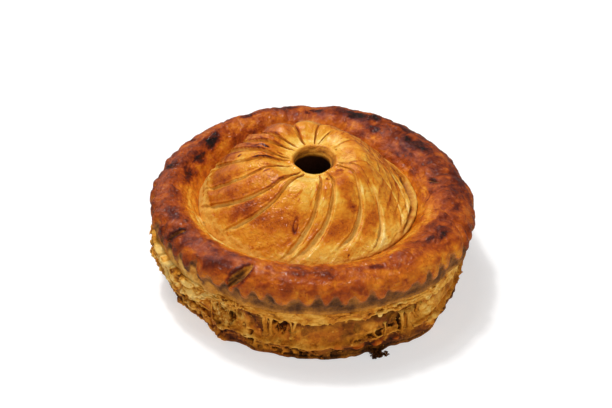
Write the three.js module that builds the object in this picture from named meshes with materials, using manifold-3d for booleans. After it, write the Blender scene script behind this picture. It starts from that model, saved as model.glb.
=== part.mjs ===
// A raised puff-pastry pie: a flaky base crust, a thick glazed rim crust with a scalloped
// edge, and a domed lid scored with spiral cuts round a vent.
// Millimetres, +Z up. The origin is on the table under the middle of the pie, and the
// front of the pie faces -Y. Angles are in degrees, anticlockwise from +X seen from above.

import * as THREE from 'three';
import { mergeVertices } from 'three/addons/utils/BufferGeometryUtils.js';
import Module from 'manifold-3d';

const wasm = await Module();
wasm.setup();

// ------------------------------------------------------------------ driving dimensions

const PIE_RADIUS = 89.8;        // out to the scalloped edge of the rim
const BED_HEIGHT = 33;          // flat top of the base, where rim and lid sit
const SEAM_RADIUS = 60.5;       // where the lid sinks into the rim
const SEAM_HEIGHT = 40.2;
const RIM_CREST_HEIGHT = 51.2;
const LID_RISE = 38;            // of the lid's dome above the seam
const LID_TILT = 0.07;          // the lid is higher behind, in mm for each mm of y
const LEFT_FLANK_RISE = 5.15;   // how far the lid's flanks stand above a round dome
const BACK_FLANK_RISE = 2.5;
const FLANK_SINK = 1.5;
const MOUTH_RADIUS = 12.6;      // lip of the vent
const MOUTH_HEIGHT = 67.5;
const THROAT_RADIUS = 10.3;     // bore of the vent
const VENT_FLOOR_HEIGHT = 45;
const JOINT_GAP = 0.3;          // between pieces that touch

const LID_CENTRE_X = -3.4;      // the lid sits a little to the left of the rim
const RIM_CENTRE_X = 0.5;
const RIM_TILT = -0.015;        // the rim is lower on the right, in mm for each mm of x

const SCALLOPS = 56;
const SCALLOP_HEIGHT = 39;      // of a scallop's tip above the table
const SCALLOP_RISE = 3.8;       // how much higher the glaze ends between two scallops
const SCALLOP_DEPTH = 1.5;

const CUT_DEPTH = 2.6;          // of the spiral cuts in the lid
const CUT_HALF_WIDTH = 2.3;

// ------------------------------------------------------------------ small helpers

const TURN = 2 * Math.PI;
const toRadians = THREE.MathUtils.degToRad;
const { lerp, clamp, smoothstep } = THREE.MathUtils;

/** Signed angle from b to a, between -half a turn and half a turn. */
function angleBetween(a, b) {
  const turns = (a - b) / TURN;
  return (turns - Math.round(turns)) * TURN;
}

/** A smooth hump of height 1 round an angle; the width is in degrees. */
function hump(theta, centreDegrees, widthDegrees) {
  const share = angleBetween(theta, toRadians(centreDegrees)) / toRadians(widthDegrees);
  return Math.exp(-share * share);
}

/** A repeatable number from 0 to 1 for a lattice cell. */
function cellValue(i, j, seed) {
  const s = Math.sin(i * 127.1 + j * 311.7 + seed * 74.7) * 43758.5453;
  return s - Math.floor(s);
}

/** Smooth noise from -1 to 1 round the pie: so many cells in a turn, each so high. */
function crag(theta, height, cellsRound, cellHeight, seed) {
  const u = ((theta / TURN) % 1 + 1) % 1 * cellsRound;
  const v = height / cellHeight;
  const i = Math.floor(u);
  const j = Math.floor(v);
  const across = smoothstep(u - i, 0, 1);
  const up = smoothstep(v - j, 0, 1);
  const next = (i + 1) % cellsRound;
  const low = lerp(cellValue(i, j, seed), cellValue(next, j, seed), across);
  const high = lerp(cellValue(i, j + 1, seed), cellValue(next, j + 1, seed), across);
  return 2 * lerp(low, high, up) - 1;
}

/** A ring of points, one for each of count equal steps round the pie. */
function ring(count, pointAt) {
  return Array.from({ length: count }, (_, k) => pointAt(k / count * TURN));
}

/** Triangles between two rings that need not have the same number of points. */
function stitch(triangles, a, b) {
  let i = 0;
  let j = 0;
  while (i < a.count || j < b.count) {
    const cornerA = a.start + i % a.count;
    const cornerB = b.start + j % b.count;
    if ((i + 1) / a.count <= (j + 1) / b.count) {
      triangles.push(cornerA, a.start + (i + 1) % a.count, cornerB);
      i += 1;
    } else {
      triangles.push(cornerA, b.start + (j + 1) % b.count, cornerB);
      j += 1;
    }
  }
}

/**
 * A closed skin over a run of rings. With caps, the first and last rings are closed by
 * fans to the two cap points; without, the last ring is joined to the first.
 */
function skin(rings, caps) {
  const points = [];
  const triangles = [];
  const spans = rings.map((points3) => {
    const span = { start: points.length, count: points3.length };
    points.push(...points3);
    return span;
  });
  for (let k = 0; k + 1 < spans.length; k += 1) stitch(triangles, spans[k], spans[k + 1]);
  const first = spans[0];
  const last = spans[spans.length - 1];
  if (caps) {
    const [bottom, top] = [points.length, points.length + 1];
    points.push(...caps);
    for (let k = 0; k < first.count; k += 1) {
      triangles.push(bottom, first.start + (k + 1) % first.count, first.start + k);
    }
    for (let k = 0; k < last.count; k += 1) {
      triangles.push(top, last.start + k, last.start + (k + 1) % last.count);
    }
  } else {
    stitch(triangles, last, first);
  }
  const geometry = new THREE.BufferGeometry().setFromPoints(points);
  geometry.setIndex(triangles);
  return geometry;
}

/** A three.js geometry as a solid that can be joined and cut. */
function toSolid(geometry) {
  const bare = geometry.clone();
  bare.deleteAttribute('normal');
  bare.deleteAttribute('uv');
  const merged = mergeVertices(bare, 1e-4);
  return new wasm.Manifold(new wasm.Mesh({
    numProp: 3,
    vertProperties: new Float32Array(merged.attributes.position.array),
    triVerts: new Uint32Array(merged.index.array),
  }));
}

function toGeometry(solid) {
  const mesh = solid.getMesh();
  const geometry = new THREE.BufferGeometry();
  geometry.setAttribute('position', new THREE.BufferAttribute(mesh.vertProperties, 3));
  geometry.setIndex(new THREE.BufferAttribute(mesh.triVerts, 1));
  return geometry;
}

// ------------------------------------------------------------------ base crust

// Stations up the wall: height, radius, and how rough the pastry is there. The order is
// bottom edge, crumbly lower band, thin ledge, deep recess with webs, ragged flaky lip.
const WALL = [
  { z: 0, r: 83.6, rough: 0.3 },
  { z: 1.6, r: 84.6, rough: 0.4 },
  { z: 4.6, r: 83.6, rough: 1.3 },
  { z: 8.2, r: 84.6, rough: 0.7 },
  { z: 9.8, r: 86.4, rough: 0.4 },
  { z: 11.6, r: 84.4, rough: 0.5 },
  { z: 15.0, r: 82.8, rough: 0.9 },
  { z: 19.0, r: 82.4, rough: 0.9 },
  { z: 22.0, r: 84.0, rough: 0.9 },
  { z: 24.2, r: 87.9, rough: 0.6 },
  { z: 28.0, r: 88.3, rough: 0.5 },
  { z: 31.2, r: 88.7, rough: 0.2 },
  { z: BED_HEIGHT, r: 88.0, rough: 0.2 },
];
const WALL_COLUMNS = 168;
const LIP_HEIGHT = 24.2;
const RECESS_MIDDLE = 17;
const RECESS_HALF_HEIGHT = 5.5;
const WEB_RELIEF = 3.0;          // how far the webs and bulges stand out of the recess

/** How the wall departs from a round one: fuller at the left, with two feet in front. */
function wallSwell(theta, z) {
  const high = clamp(z / LIP_HEIGHT, 0, 1);
  const upper = 4.2 * hump(theta, -155, 22) - 2.8 * hump(theta, -10, 26);
  const feet = 1.2 * hump(theta, -127, 5) + 3.4 * hump(theta, -51, 9);
  const front = 1.8 * hump(theta, -82, 24);
  const sides = 1.6 * (hump(theta, 0, 40) + hump(theta, 180, 35));
  return lerp(feet + front - sides, upper, high);
}

/** Bulges and upright webs of pastry, which stand only in the recess. */
function recessRelief(theta, z) {
  const inRecess = clamp(1 - Math.abs(z - RECESS_MIDDLE) / RECESS_HALF_HEIGHT, 0, 1);
  const bulge = clamp(1.4 * crag(theta, 0, 42, 1, 11) + 0.3, 0, 1);
  return WEB_RELIEF * inRecess * bulge;
}

function wallPoint(station, theta) {
  const ragged = station.z > RECESS_MIDDLE && station.z < BED_HEIGHT - 2;
  const z = station.z + (ragged ? 1.1 * crag(theta, 0, 48, 1, 5) : 0);
  const r = station.r + wallSwell(theta, station.z) + recessRelief(theta, station.z)
    + station.rough * crag(theta, station.z, 88, 3, 7);
  return new THREE.Vector3(RIM_CENTRE_X + r * Math.cos(theta), r * Math.sin(theta), z);
}

// The burnt crumb stuck to the foot, on the table: one lump for each entry, as distance
// from the pie's middle, angle, height of its middle and size.
const CRUMB = [
  { r: 84.6, angle: -67, z: 1.6, size: 3.4 },
  { r: 87.4, angle: -68, z: 1.5, size: 2.6 },
  { r: 89.8, angle: -70.5, z: 1.4, size: 2.2 },
  { r: 89.6, angle: -66.5, z: 1.6, size: 2.1 },
  { r: 91.0, angle: -68.4, z: 1.2, size: 2.3 },
];
const TABLE_DEPTH = 20;

function crumbLump({ r, angle, z, size }) {
  const lump = new THREE.DodecahedronGeometry(size);
  lump.rotateZ(toRadians(angle * 3));
  lump.translate(r * Math.cos(toRadians(angle)), r * Math.sin(toRadians(angle)), z);
  return toSolid(lump);
}

function baseCrust() {
  const rings = WALL.map((station) => ring(WALL_COLUMNS, (theta) => wallPoint(station, theta)));
  const bottom = new THREE.Vector3(0, 0, 0);
  const top = new THREE.Vector3(0, 0, BED_HEIGHT);
  let solid = toSolid(skin(rings, [bottom, top]));
  const table = new THREE.BoxGeometry(4 * PIE_RADIUS, 4 * PIE_RADIUS, TABLE_DEPTH);
  table.translate(0, 0, -TABLE_DEPTH / 2);
  const tableSolid = toSolid(table);
  for (const lump of CRUMB) solid = solid.add(crumbLump(lump).subtract(tableSolid));
  return toGeometry(solid);
}

// ------------------------------------------------------------------ rim crust

const RIM_FOOT_HEIGHT = BED_HEIGHT + JOINT_GAP;
const RIM_INNER_RADIUS = SEAM_RADIUS + JOINT_GAP;
const FINE_COLUMNS = 5 * SCALLOPS;
const COARSE_COLUMNS = 3 * SCALLOPS;

// Stations round the rim's section: up the outer face, over the crest, down to the seam.
// scallop is how strongly the scallops show there, rise how strongly the crest's swell does.
const RIM = [
  { r: 87.4, z: RIM_FOOT_HEIGHT, columns: COARSE_COLUMNS, scallop: 0, rise: 0, rough: 0 },
  { r: 88.0, z: 36.4, columns: FINE_COLUMNS, scallop: 0.3, rise: 0, rough: 0.2 },
  { r: PIE_RADIUS, z: SCALLOP_HEIGHT, columns: FINE_COLUMNS, scallop: 1, rise: 0, rough: 0 },
  { r: 89.6, z: 44.0, columns: COARSE_COLUMNS, scallop: 0, rise: 0.3, rough: 0.4 },
  { r: 87.8, z: 47.0, columns: COARSE_COLUMNS, scallop: 0, rise: 0.7, rough: 0.6 },
  { r: 84.0, z: 49.6, columns: COARSE_COLUMNS, scallop: 0, rise: 1, rough: 0.8 },
  { r: 78.5, z: RIM_CREST_HEIGHT, columns: COARSE_COLUMNS, scallop: 0, rise: 1, rough: 1.0 },
  { r: 73.0, z: 50.4, columns: COARSE_COLUMNS, scallop: 0, rise: 1, rough: 1.0 },
  { r: 68.0, z: 47.4, columns: COARSE_COLUMNS, scallop: 0, rise: 0.7, rough: 0.8 },
  { r: 64.0, z: 43.4, columns: COARSE_COLUMNS, scallop: 0, rise: 0.3, rough: 0.5 },
  { r: 61.3, z: SEAM_HEIGHT, columns: COARSE_COLUMNS, scallop: 0, rise: 0, rough: 0 },
  { r: RIM_INNER_RADIUS, z: 38, columns: SCALLOPS, scallop: 0, rise: 0, rough: 0 },
  { r: RIM_INNER_RADIUS, z: RIM_FOOT_HEIGHT, columns: SCALLOPS, scallop: 0, rise: 0, rough: 0 },
];

/** The crest is fuller at the back left, lower at the right, and folds here and there. */
function crestSwell(theta) {
  const full = 1.6 * hump(theta, 115, 40) + 0.8 * hump(theta, -150, 25);
  const low = 1.3 * hump(theta, 40, 30);
  const folds = 1.2 * (hump(theta, -23, 3) + hump(theta, 11, 4) + hump(theta, 168, 3));
  return full - low - folds;
}

/** How the rim's outer edge departs from a circle: pulled in at the right and behind. */
function edgeSwell(theta, radius) {
  const outer = smoothstep(radius, SEAM_RADIUS, PIE_RADIUS - 4);
  return outer * (1.0 * hump(theta, -28, 12) + 0.8 * hump(theta, -165, 20)
    - 3.4 * hump(theta, 10, 26));
}

function rimPoint(station, theta) {
  const between = 0.5 + 0.5 * Math.cos(SCALLOPS * theta);
  const radius = station.r + edgeSwell(theta, station.r)
    - SCALLOP_DEPTH * station.scallop * between
    + station.rough * crag(theta, station.r, 44, 5, 3);
  const centreX = lerp(LID_CENTRE_X, RIM_CENTRE_X, smoothstep(station.r, SEAM_RADIUS, 84));
  const x = centreX + radius * Math.cos(theta);
  const aboveFoot = clamp((station.z - RIM_FOOT_HEIGHT) / 8, 0, 1);
  const z = station.z + SCALLOP_RISE * station.scallop * between
    + station.rise * crestSwell(theta) + station.rough * crag(theta, station.r, 31, 6, 9)
    + RIM_TILT * x * aboveFoot;
  return new THREE.Vector3(x, radius * Math.sin(theta), z);
}

// Knife slits in the rim: where the middle is, the way the slit points, its full length,
// width and depth.
const SLITS = [
  { r: 85.5, angle: -115.5, z: 48.2, heading: 62, length: 17, width: 5.4, depth: 7 },
  { r: 85.5, angle: -147, z: 49.0, heading: 22, length: 12, width: 2.6, depth: 5 },
  { r: 87.0, angle: 168, z: 49.0, heading: -12, length: 10, width: 2.4, depth: 5 },
  { r: 86.5, angle: 148, z: 50.0, heading: -22, length: 8, width: 2.2, depth: 4 },
  { r: 69.5, angle: 6, z: 47.6, heading: -35, length: 15, width: 2.2, depth: 4 },
];

function slitCutter({ r, angle, z, heading, length, width, depth }) {
  const blade = new THREE.SphereGeometry(0.5, 12, 8);
  blade.scale(length, width, 2 * depth);
  blade.rotateZ(toRadians(heading));
  blade.translate(
    RIM_CENTRE_X + r * Math.cos(toRadians(angle)), r * Math.sin(toRadians(angle)), z);
  return toSolid(blade);
}

function rimCrust() {
  const rings = RIM.map((station) => ring(station.columns, (theta) => rimPoint(station, theta)));
  let solid = toSolid(skin(rings));
  for (const slit of SLITS) solid = solid.subtract(slitCutter(slit));
  return toGeometry(solid);
}

// ------------------------------------------------------------------ domed lid

// Spiral cuts: the angle where each starts at the vent, where it is half way down, where
// it would reach the seam, and the share of that way at which it fades out.
const CUTS = [
  [-151, -152, -176, 0.95],
  [-118, -126, -164, 1.0],
  [-105, -112, -138, 0.97],
  [-79, -82, -102, 1.0],
  [-65, -71, -97, 1.0],
  [-30, -47, -76, 0.9],
  [-12, -41, -50, 0.97],
  [5, -22, -36, 1.0],
  [38, -14, -28, 1.0],
  [68, 42, 5, 1.0],
  [82, 72, 40, 1.0],
  [110, 103, 72, 1.0],
  [128, 120, 92, 1.0],
  [142, 139, 112, 1.0],
  [163, 158, 132, 1.0],
  [194, 188, 158, 1.0],
];
const LID_COLUMNS = 148;
const LID_TWIST = -26;          // degrees that the mesh turns with the cuts, vent to seam
const DOME_POWER = 0.9;
const FLANK_POWER = 1.85;       // above 1 puts the flanks' fullest part nearer to the seam
const FUNNEL_RADIUS = 30;       // inside this the lid dips towards the vent
const LID_SHARES = [1, 0.93, 0.85, 0.76, 0.66, 0.55, 0.44, 0.33, 0.22, 0.1, 0];

/** The angle of a cut at a share of the way from the vent to the seam. */
function cutAngle([atVent, half, atSeam], share) {
  const curve = 2 * (atSeam - 2 * half + atVent) * share * (share - 0.5);
  return toRadians(atVent + (2 * (half - atVent)) * share + curve);
}

function cutRelief(theta, share, radius) {
  const strength = smoothstep(share, 0.02, 0.14);
  return CUTS.reduce((deepest, cut) => {
    const away = angleBetween(theta, cutAngle(cut, share)) * radius / CUT_HALF_WIDTH;
    const fade = strength * (1 - smoothstep(share, cut[3] - 0.08, cut[3] + 0.02));
    return Math.max(deepest, CUT_DEPTH * fade * Math.exp(-away * away));
  }, 0);
}

function lidHeight(radius) {
  const dome = (r) => SEAM_HEIGHT
    + LID_RISE * Math.pow(Math.max(0, 1 - (r / SEAM_RADIUS) ** 2), DOME_POWER);
  const dip = dome(MOUTH_RADIUS) - MOUTH_HEIGHT;
  return dome(radius) - dip * (1 - smoothstep(radius, MOUTH_RADIUS, FUNNEL_RADIUS));
}

/** How the lid departs from a round dome: full at the left, sunk at the right, tilted. */
function lidSwell(theta, share, radius) {
  const flank = Math.sin(Math.PI * share ** FLANK_POWER);
  const swell = BACK_FLANK_RISE * Math.sin(theta) - LEFT_FLANK_RISE * Math.cos(theta);
  return flank * (swell - FLANK_SINK) + LID_TILT * (1 - share) * radius * Math.sin(theta);
}

function lidPoint(share, turn) {
  const radius = lerp(MOUTH_RADIUS, SEAM_RADIUS, share);
  const theta = turn + toRadians(LID_TWIST) * share ** 1.8;
  const centreX = LID_CENTRE_X * share;
  const relief = cutRelief(theta, share, radius);
  const inward = radius - relief * share;
  const height = lidHeight(radius) + lidSwell(theta, share, radius) - relief;
  return new THREE.Vector3(
    centreX + inward * Math.cos(theta), inward * Math.sin(theta), height);
}

function domedLid() {
  const flatRing = (radius, z, centreX) => ring(LID_COLUMNS, (turn) => {
    const theta = turn + toRadians(LID_TWIST);
    return new THREE.Vector3(centreX + radius * Math.cos(theta), radius * Math.sin(theta), z);
  });
  const boreRing = (radius, z) => ring(LID_COLUMNS / 4, (turn) => (
    new THREE.Vector3(radius * Math.cos(turn), radius * Math.sin(turn), z)));
  const rings = [
    flatRing(SEAM_RADIUS, BED_HEIGHT + JOINT_GAP, LID_CENTRE_X),
    ...LID_SHARES.map((share) => ring(LID_COLUMNS, (turn) => lidPoint(share, turn))),
    boreRing(THROAT_RADIUS + 0.9, MOUTH_HEIGHT - 1.6),
    boreRing(THROAT_RADIUS, MOUTH_HEIGHT - 5),
    boreRing(THROAT_RADIUS, VENT_FLOOR_HEIGHT),
  ];
  const bottom = new THREE.Vector3(LID_CENTRE_X, 0, BED_HEIGHT + JOINT_GAP);
  const ventFloor = new THREE.Vector3(0, 0, VENT_FLOOR_HEIGHT);
  return skin(rings, [bottom, ventFloor]);
}

// ------------------------------------------------------------------ the pie

const bakedPastry = { roughness: 0.75, metalness: 0 };
const glazedPastry = { roughness: 0.35, metalness: 0 };

function pieceOf(name, geometry, color, surface) {
  const mesh = new THREE.Mesh(geometry, new THREE.MeshStandardMaterial({ color, ...surface }));
  mesh.name = name;
  return mesh;
}

const group = new THREE.Group();
group.add(
  pieceOf('base_crust', baseCrust(), 0xb5802f, bakedPastry),
  pieceOf('rim_crust', rimCrust(), 0x9c4f1c, glazedPastry),
  pieceOf('dome_lid', domedLid(), 0xcf8a35, glazedPastry),
);

export default group;
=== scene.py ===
from functools import partial
from math import asin, cos, hypot, pi, radians, sin

import bpy
import numpy as np
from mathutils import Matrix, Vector


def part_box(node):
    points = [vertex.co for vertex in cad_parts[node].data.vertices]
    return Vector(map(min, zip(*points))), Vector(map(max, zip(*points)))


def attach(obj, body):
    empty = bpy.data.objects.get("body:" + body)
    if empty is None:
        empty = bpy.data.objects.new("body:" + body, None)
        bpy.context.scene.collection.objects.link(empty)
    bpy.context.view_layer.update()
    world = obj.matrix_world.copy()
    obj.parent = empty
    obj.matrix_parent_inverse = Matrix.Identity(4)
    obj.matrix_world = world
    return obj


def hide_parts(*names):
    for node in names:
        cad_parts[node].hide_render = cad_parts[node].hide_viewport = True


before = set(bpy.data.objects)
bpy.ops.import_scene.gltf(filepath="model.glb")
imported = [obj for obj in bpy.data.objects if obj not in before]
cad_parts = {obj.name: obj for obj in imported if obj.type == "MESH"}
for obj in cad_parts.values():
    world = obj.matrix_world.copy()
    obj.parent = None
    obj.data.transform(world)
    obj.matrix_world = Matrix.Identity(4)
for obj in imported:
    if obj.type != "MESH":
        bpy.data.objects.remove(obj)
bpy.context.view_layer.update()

# Looks of a raised puff-pastry pie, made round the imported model. Sizes are in millimetres
# and angles in degrees, anticlockwise from +X seen from above, until add_mesh turns the
# points to metres. The front of the pie faces -Y.

MM = 0.001
TURN = 2 * pi


def corners(node):
    """Lowest and highest corner of a CAD node, in millimetres."""
    return [np.array(corner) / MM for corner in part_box(node)]


lid_low, lid_high = corners("dome_lid")

# ------------------------------------------------------------------ sizes

LID_CENTRE_X = (lid_low[0] + lid_high[0]) / 2
SEAM_RADIUS = (lid_high[0] - lid_low[0]) / 2
LID_FOOT = lid_low[2]
BED_HEIGHT = corners("base_crust")[1][2]
RIM_FOOT = corners("rim_crust")[0][2]
RIM_CENTRE_X = 0.5
RIM_TILT = -0.015
PIE_RADIUS = 89.8
SCALLOPS = 56
SEAM_HEIGHT = 40.2
LID_RISE = 38.0
DOME_POWER = 0.9
FUNNEL_RADIUS = 30.0
LID_TILT = 0.07
LEFT_FLANK_RISE = 5.15
BACK_FLANK_RISE = 2.5
FLANK_SINK = 1.5
FLANK_POWER = 1.85
MOUTH_RADIUS = 12.6
MOUTH_HEIGHT = 67.5
LID_RUN = SEAM_RADIUS - MOUTH_RADIUS
THROAT_RADIUS = 9.9
THROAT_HEIGHT = 62.6
THROAT_X = -1.1
VENT_FLOOR_HEIGHT = 45.0
# Radii at which the noise of the rim, of its edge and of the wall is laid round the pie.
RIM_BAND = 76
EDGE_BAND = 88
WALL_BAND = 86
# A size across the crust so large that noise hardly changes that way.
LONG = 99

# ------------------------------------------------------------------ noise and shaping

OCTAVE_TURN = np.array([[0.36, 0.48, -0.8], [-0.8, 0.6, 0.0], [0.48, 0.64, 0.6]])


def hashed(cell, seed):
    """A repeatable number from 0 to 1 for each lattice cell; cell is (..., 3) whole numbers."""
    x, y, z = (cell[..., k].astype(np.uint32) for k in range(3))
    mixed = x * np.uint32(374761393) + y * np.uint32(668265263) + z * np.uint32(2246822519)
    mixed = mixed + np.uint32((seed * 40503 + 977) % 2 ** 32)
    mixed = (mixed ^ (mixed >> np.uint32(13))) * np.uint32(1274126177)
    mixed = (mixed ^ (mixed >> np.uint32(15))) * np.uint32(2654435761)
    return (mixed ^ (mixed >> np.uint32(16))) / 4294967295.0


def cell_size(size):
    """Sizes for the three axes, from one size, from two, round the pie and across its crust,
    or from all three."""
    size = np.asarray(size, float)
    return size[[0, 0, 1]] if size.shape == (2,) else size


def noise(p, size, seed):
    """Smooth noise from -1 to 1 at points p, which is (..., 3)."""
    q = p / cell_size(size)
    cell = np.floor(q).astype(np.int64)
    t = q - cell
    t = t * t * t * (t * (t * 6 - 15) + 10)
    total = np.zeros(p.shape[:-1])
    for corner in np.ndindex(2, 2, 2):
        share = np.where(corner, t, 1 - t).prod(-1)
        total += share * hashed(cell + np.array(corner), seed)
    return 2 * total - 1


def octaves(p, size, seed, count, gain, seed_step, shape):
    """The mean of several octaves of shaped noise, each half the size of the last."""
    total, strength, weight = 0.0, 1.0, 0.0
    size = np.asarray(size, float)
    for k in range(count):
        total = total + strength * shape(noise(p, size, seed + seed_step * k))
        weight += strength
        strength *= gain
        size = size / 2
        if size.ndim == 0:
            p = p @ OCTAVE_TURN
    return total / weight


def fractal(p, size, seed, count=4, gain=0.5):
    """Rough noise from -1 to 1."""
    return octaves(p, size, seed, count, gain, 31, lambda value: value)


def ridges(p, size, seed, count=3):
    """Noise with sharp crests, from 0 in the troughs to 1 along the crests."""
    return octaves(p, size, seed, count, 0.5, 17, lambda value: (1 - np.abs(value)) ** 2)


def warped(p, reach, size, seed):
    """Points moved about by smooth noise, so that what is drawn on them bends."""
    return p + reach * np.stack([noise(p, size, seed + k) for k in range(3)], -1)


def cells(p, size, seed):
    """Distances to the nearest and second nearest of scattered points, and a number 0 to 1
    for the nearest one. Distances are in cell sizes."""
    q = p / cell_size(size)
    home = np.floor(q).astype(np.int64)
    near = np.full(p.shape[:-1], 9.0)
    second = near.copy()
    label = np.zeros(p.shape[:-1])
    for step in np.ndindex(3, 3, 3):
        cell = home + np.array(step) - 1
        point = cell + np.stack([hashed(cell, seed + k) for k in range(3)], -1)
        away = np.linalg.norm(q - point, axis=-1)
        closer = away < near
        second = np.where(closer, near, np.minimum(second, away))
        label = np.where(closer, hashed(cell, seed + 7), label)
        near = np.where(closer, away, near)
    return near, second, label


def ease(x, low, high):
    """Rises smoothly from 0 at low to 1 at high."""
    t = np.clip((x - low) / (high - low), 0, 1)
    return t * t * (3 - 2 * t)


def fall(x, low, high):
    """Falls smoothly from 1 at low to 0 at high."""
    return 1 - ease(x, low, high)


def bell(x, centre, width):
    """1 at the centre, falling off on both sides."""
    return np.exp(-((x - centre) / width) ** 2)


def blend(first, second, share):
    """The first at share 0, the second at share 1."""
    return first * (1 - share) + second * share


def band_of(x, low, high, soft):
    """1 between low and high, falling to 0 over soft outside them."""
    return ease(x, low - soft, low) * fall(x, high, high + soft)


def between(a, b):
    """Signed angle from b to a in radians, between -half a turn and half a turn."""
    return (a - b + pi) % TURN - pi


def hump(theta, centre, width):
    """A smooth hump of height 1 round an angle; centre and width are in degrees."""
    return bell(between(theta, radians(centre)), 0, radians(width))


def reach_of(theta, angle, radius, half_round, across, half_across):
    """How far points lie from the middle of an ellipse on the crust, in its half sizes."""
    around = between(theta, radians(angle)) * radius
    return np.hypot(around / half_round, across / half_across)


def track(stations, theta):
    """A value that changes smoothly round the pie, from its values at some angles."""
    angle, value = np.array(sorted(stations.items()), float).T
    fine = np.arange(-180, 180, 0.5)
    run = np.interp(fine, angle, value, period=360)
    for _ in range(8):
        run = (np.roll(run, 1) + 2 * run + np.roll(run, -1)) / 4
    return np.interp(np.degrees(theta), fine, run, period=360)


def blurred(field, passes):
    """A field on a grid that wraps round its columns, averaged with its neighbours."""
    for _ in range(passes):
        field = (np.roll(field, 1, 1) + 2 * field + np.roll(field, -1, 1)) / 4
        padded = np.vstack([field[:1], field, field[-1:]])
        field = (padded[:-2] + 2 * padded[1:-1] + padded[2:]) / 4
    return field


def curve_through(stations, steps=24):
    """A smooth curve through (radius, height) stations, as a dense run of points."""
    p = np.array(stations, float)
    p = np.vstack([2 * p[0] - p[1], p, 2 * p[-1] - p[-2]])
    t = np.linspace(0, 1, steps, endpoint=False)[:, None]
    runs = []
    for a, b, c, d in zip(p, p[1:], p[2:], p[3:]):
        runs.append(0.5 * (2 * b + (c - a) * t + (2 * a - 5 * b + 4 * c - d) * t ** 2
                           + (3 * b - a - 3 * c + d) * t ** 3))
    return np.vstack(runs + [p[-2:-1]])


def resample(profile, rows, closeness, closed=False):
    """Points along a profile, closer together where closeness(points) is higher."""
    step = np.linalg.norm(np.diff(profile, axis=0), axis=1)
    weight = closeness((profile[1:] + profile[:-1]) / 2)
    along = np.concatenate([[0], np.cumsum(step * weight)])
    want = np.linspace(0, along[-1], rows, endpoint=not closed)
    return np.stack([np.interp(want, along, profile[:, k]) for k in range(2)], -1)


def outward(profile, closed=False):
    """Unit normals of a profile that runs up the outside and over the top."""
    if closed:
        tangent = np.roll(profile, -1, 0) - np.roll(profile, 1, 0)
    else:
        tangent = np.gradient(profile, axis=0)
    tangent /= np.linalg.norm(tangent, axis=1, keepdims=True)
    return np.stack([tangent[:, 1], -tangent[:, 0]], -1)


def run_length(profile):
    step = np.linalg.norm(np.diff(profile, axis=0), axis=1)
    return np.concatenate([[0], np.cumsum(step)])


# ------------------------------------------------------------------ meshes

# Fields: how dark, from baking and painted shade; how bare of glaze; painted shade in hollows.
FIELDS = ("bake_and_shade", "raw", "painted_shade")


def grid_faces(rows, columns, closed):
    """Quads over rows of points that wrap round their columns, and their rows if closed."""
    r = np.arange(rows if closed else rows - 1)[:, None]
    c = np.arange(columns)[None, :]
    up, on = (r + 1) % rows, (c + 1) % columns
    quads = [r * columns + c, r * columns + on, up * columns + on, up * columns + c]
    return np.stack(quads, -1).reshape(-1, 4).tolist()


def fan(centre, start, columns, outward_down):
    """Triangles from a point at the centre to a ring of points, facing down or up."""
    ring = start + np.arange(columns)
    onward = np.roll(ring, -1)
    order = [onward, ring] if outward_down else [ring, onward]
    return [[centre, a, b] for a, b in zip(*(o.tolist() for o in order))]


def add_object(name, data):
    added = bpy.data.objects.new(name, data)
    bpy.context.scene.collection.objects.link(added)
    return added


def add_mesh(name, points, faces, fields, material, node):
    """A smooth mesh object with its fields as vertex attributes. It stands for a CAD node
    where one is named."""
    mesh = bpy.data.meshes.new(name)
    mesh.from_pydata((points * MM).tolist(), [], faces)
    for field, values in fields.items():
        layer = mesh.attributes.new(field, "FLOAT", "POINT")
        layer.data.foreach_set("value", np.ascontiguousarray(values, np.float32).ravel())
    mesh.shade_smooth()
    mesh.materials.append(material)
    piece = add_object(name, mesh)
    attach(piece, "root")
    if node:
        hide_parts(node)
    return piece


def add_skin(name, grid, fields, material, node, caps=None):
    """A closed skin over a grid of rows and columns, with its three fields, see crust_material.
    Without caps its rows close on themselves."""
    rows, columns = grid.shape[:2]
    points = grid.reshape(-1, 3)
    fields = {key: np.clip(np.broadcast_to(value, (rows, columns)), 0, 1).reshape(-1)
              for key, value in zip(FIELDS, fields)}
    faces = grid_faces(rows, columns, closed=caps is None)
    if caps is not None:
        faces += fan(len(points), 0, columns, outward_down=True)
        faces += fan(len(points) + 1, (rows - 1) * columns, columns, outward_down=False)
        points = np.vstack([points, caps])
        ends = {key: [value[0], value[-1]] for key, value in fields.items()}
        fields = {key: np.concatenate([value, ends[key]]) for key, value in fields.items()}
    return add_mesh(name, points, faces, fields, material, node)


def revolve(profile, theta, relief, closed=False):
    """Turns a profile round the Z axis, moved by relief along its normals, as a grid."""
    normals = outward(profile, closed)
    radius = profile[:, :1] + relief * normals[:, :1]
    height = profile[:, 1:] + relief * normals[:, 1:]
    return np.stack([radius * np.cos(theta), radius * np.sin(theta), height], -1)


def push_out(grid, theta, amount):
    """Moves the points of a grid away from the Z axis."""
    grid[..., 0] += amount * np.cos(theta)
    grid[..., 1] += amount * np.sin(theta)


def round_coordinates(theta, along, radius):
    """Coordinates for noise that follow a band round the pie: two round it, one across it."""
    shape = np.broadcast(theta, along).shape
    return np.stack([np.broadcast_to(radius * np.cos(theta), shape),
                     np.broadcast_to(radius * np.sin(theta), shape),
                     np.broadcast_to(along, shape)], -1)


# ------------------------------------------------------------------ materials


def linear(red, green, blue):
    """A colour given as 0 to 255 display values, for a shader."""
    def channel(value):
        value /= 255
        return value / 12.92 if value <= 0.04045 else ((value + 0.055) / 1.055) ** 2.4
    return (channel(red), channel(green), channel(blue), 1.0)
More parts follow.
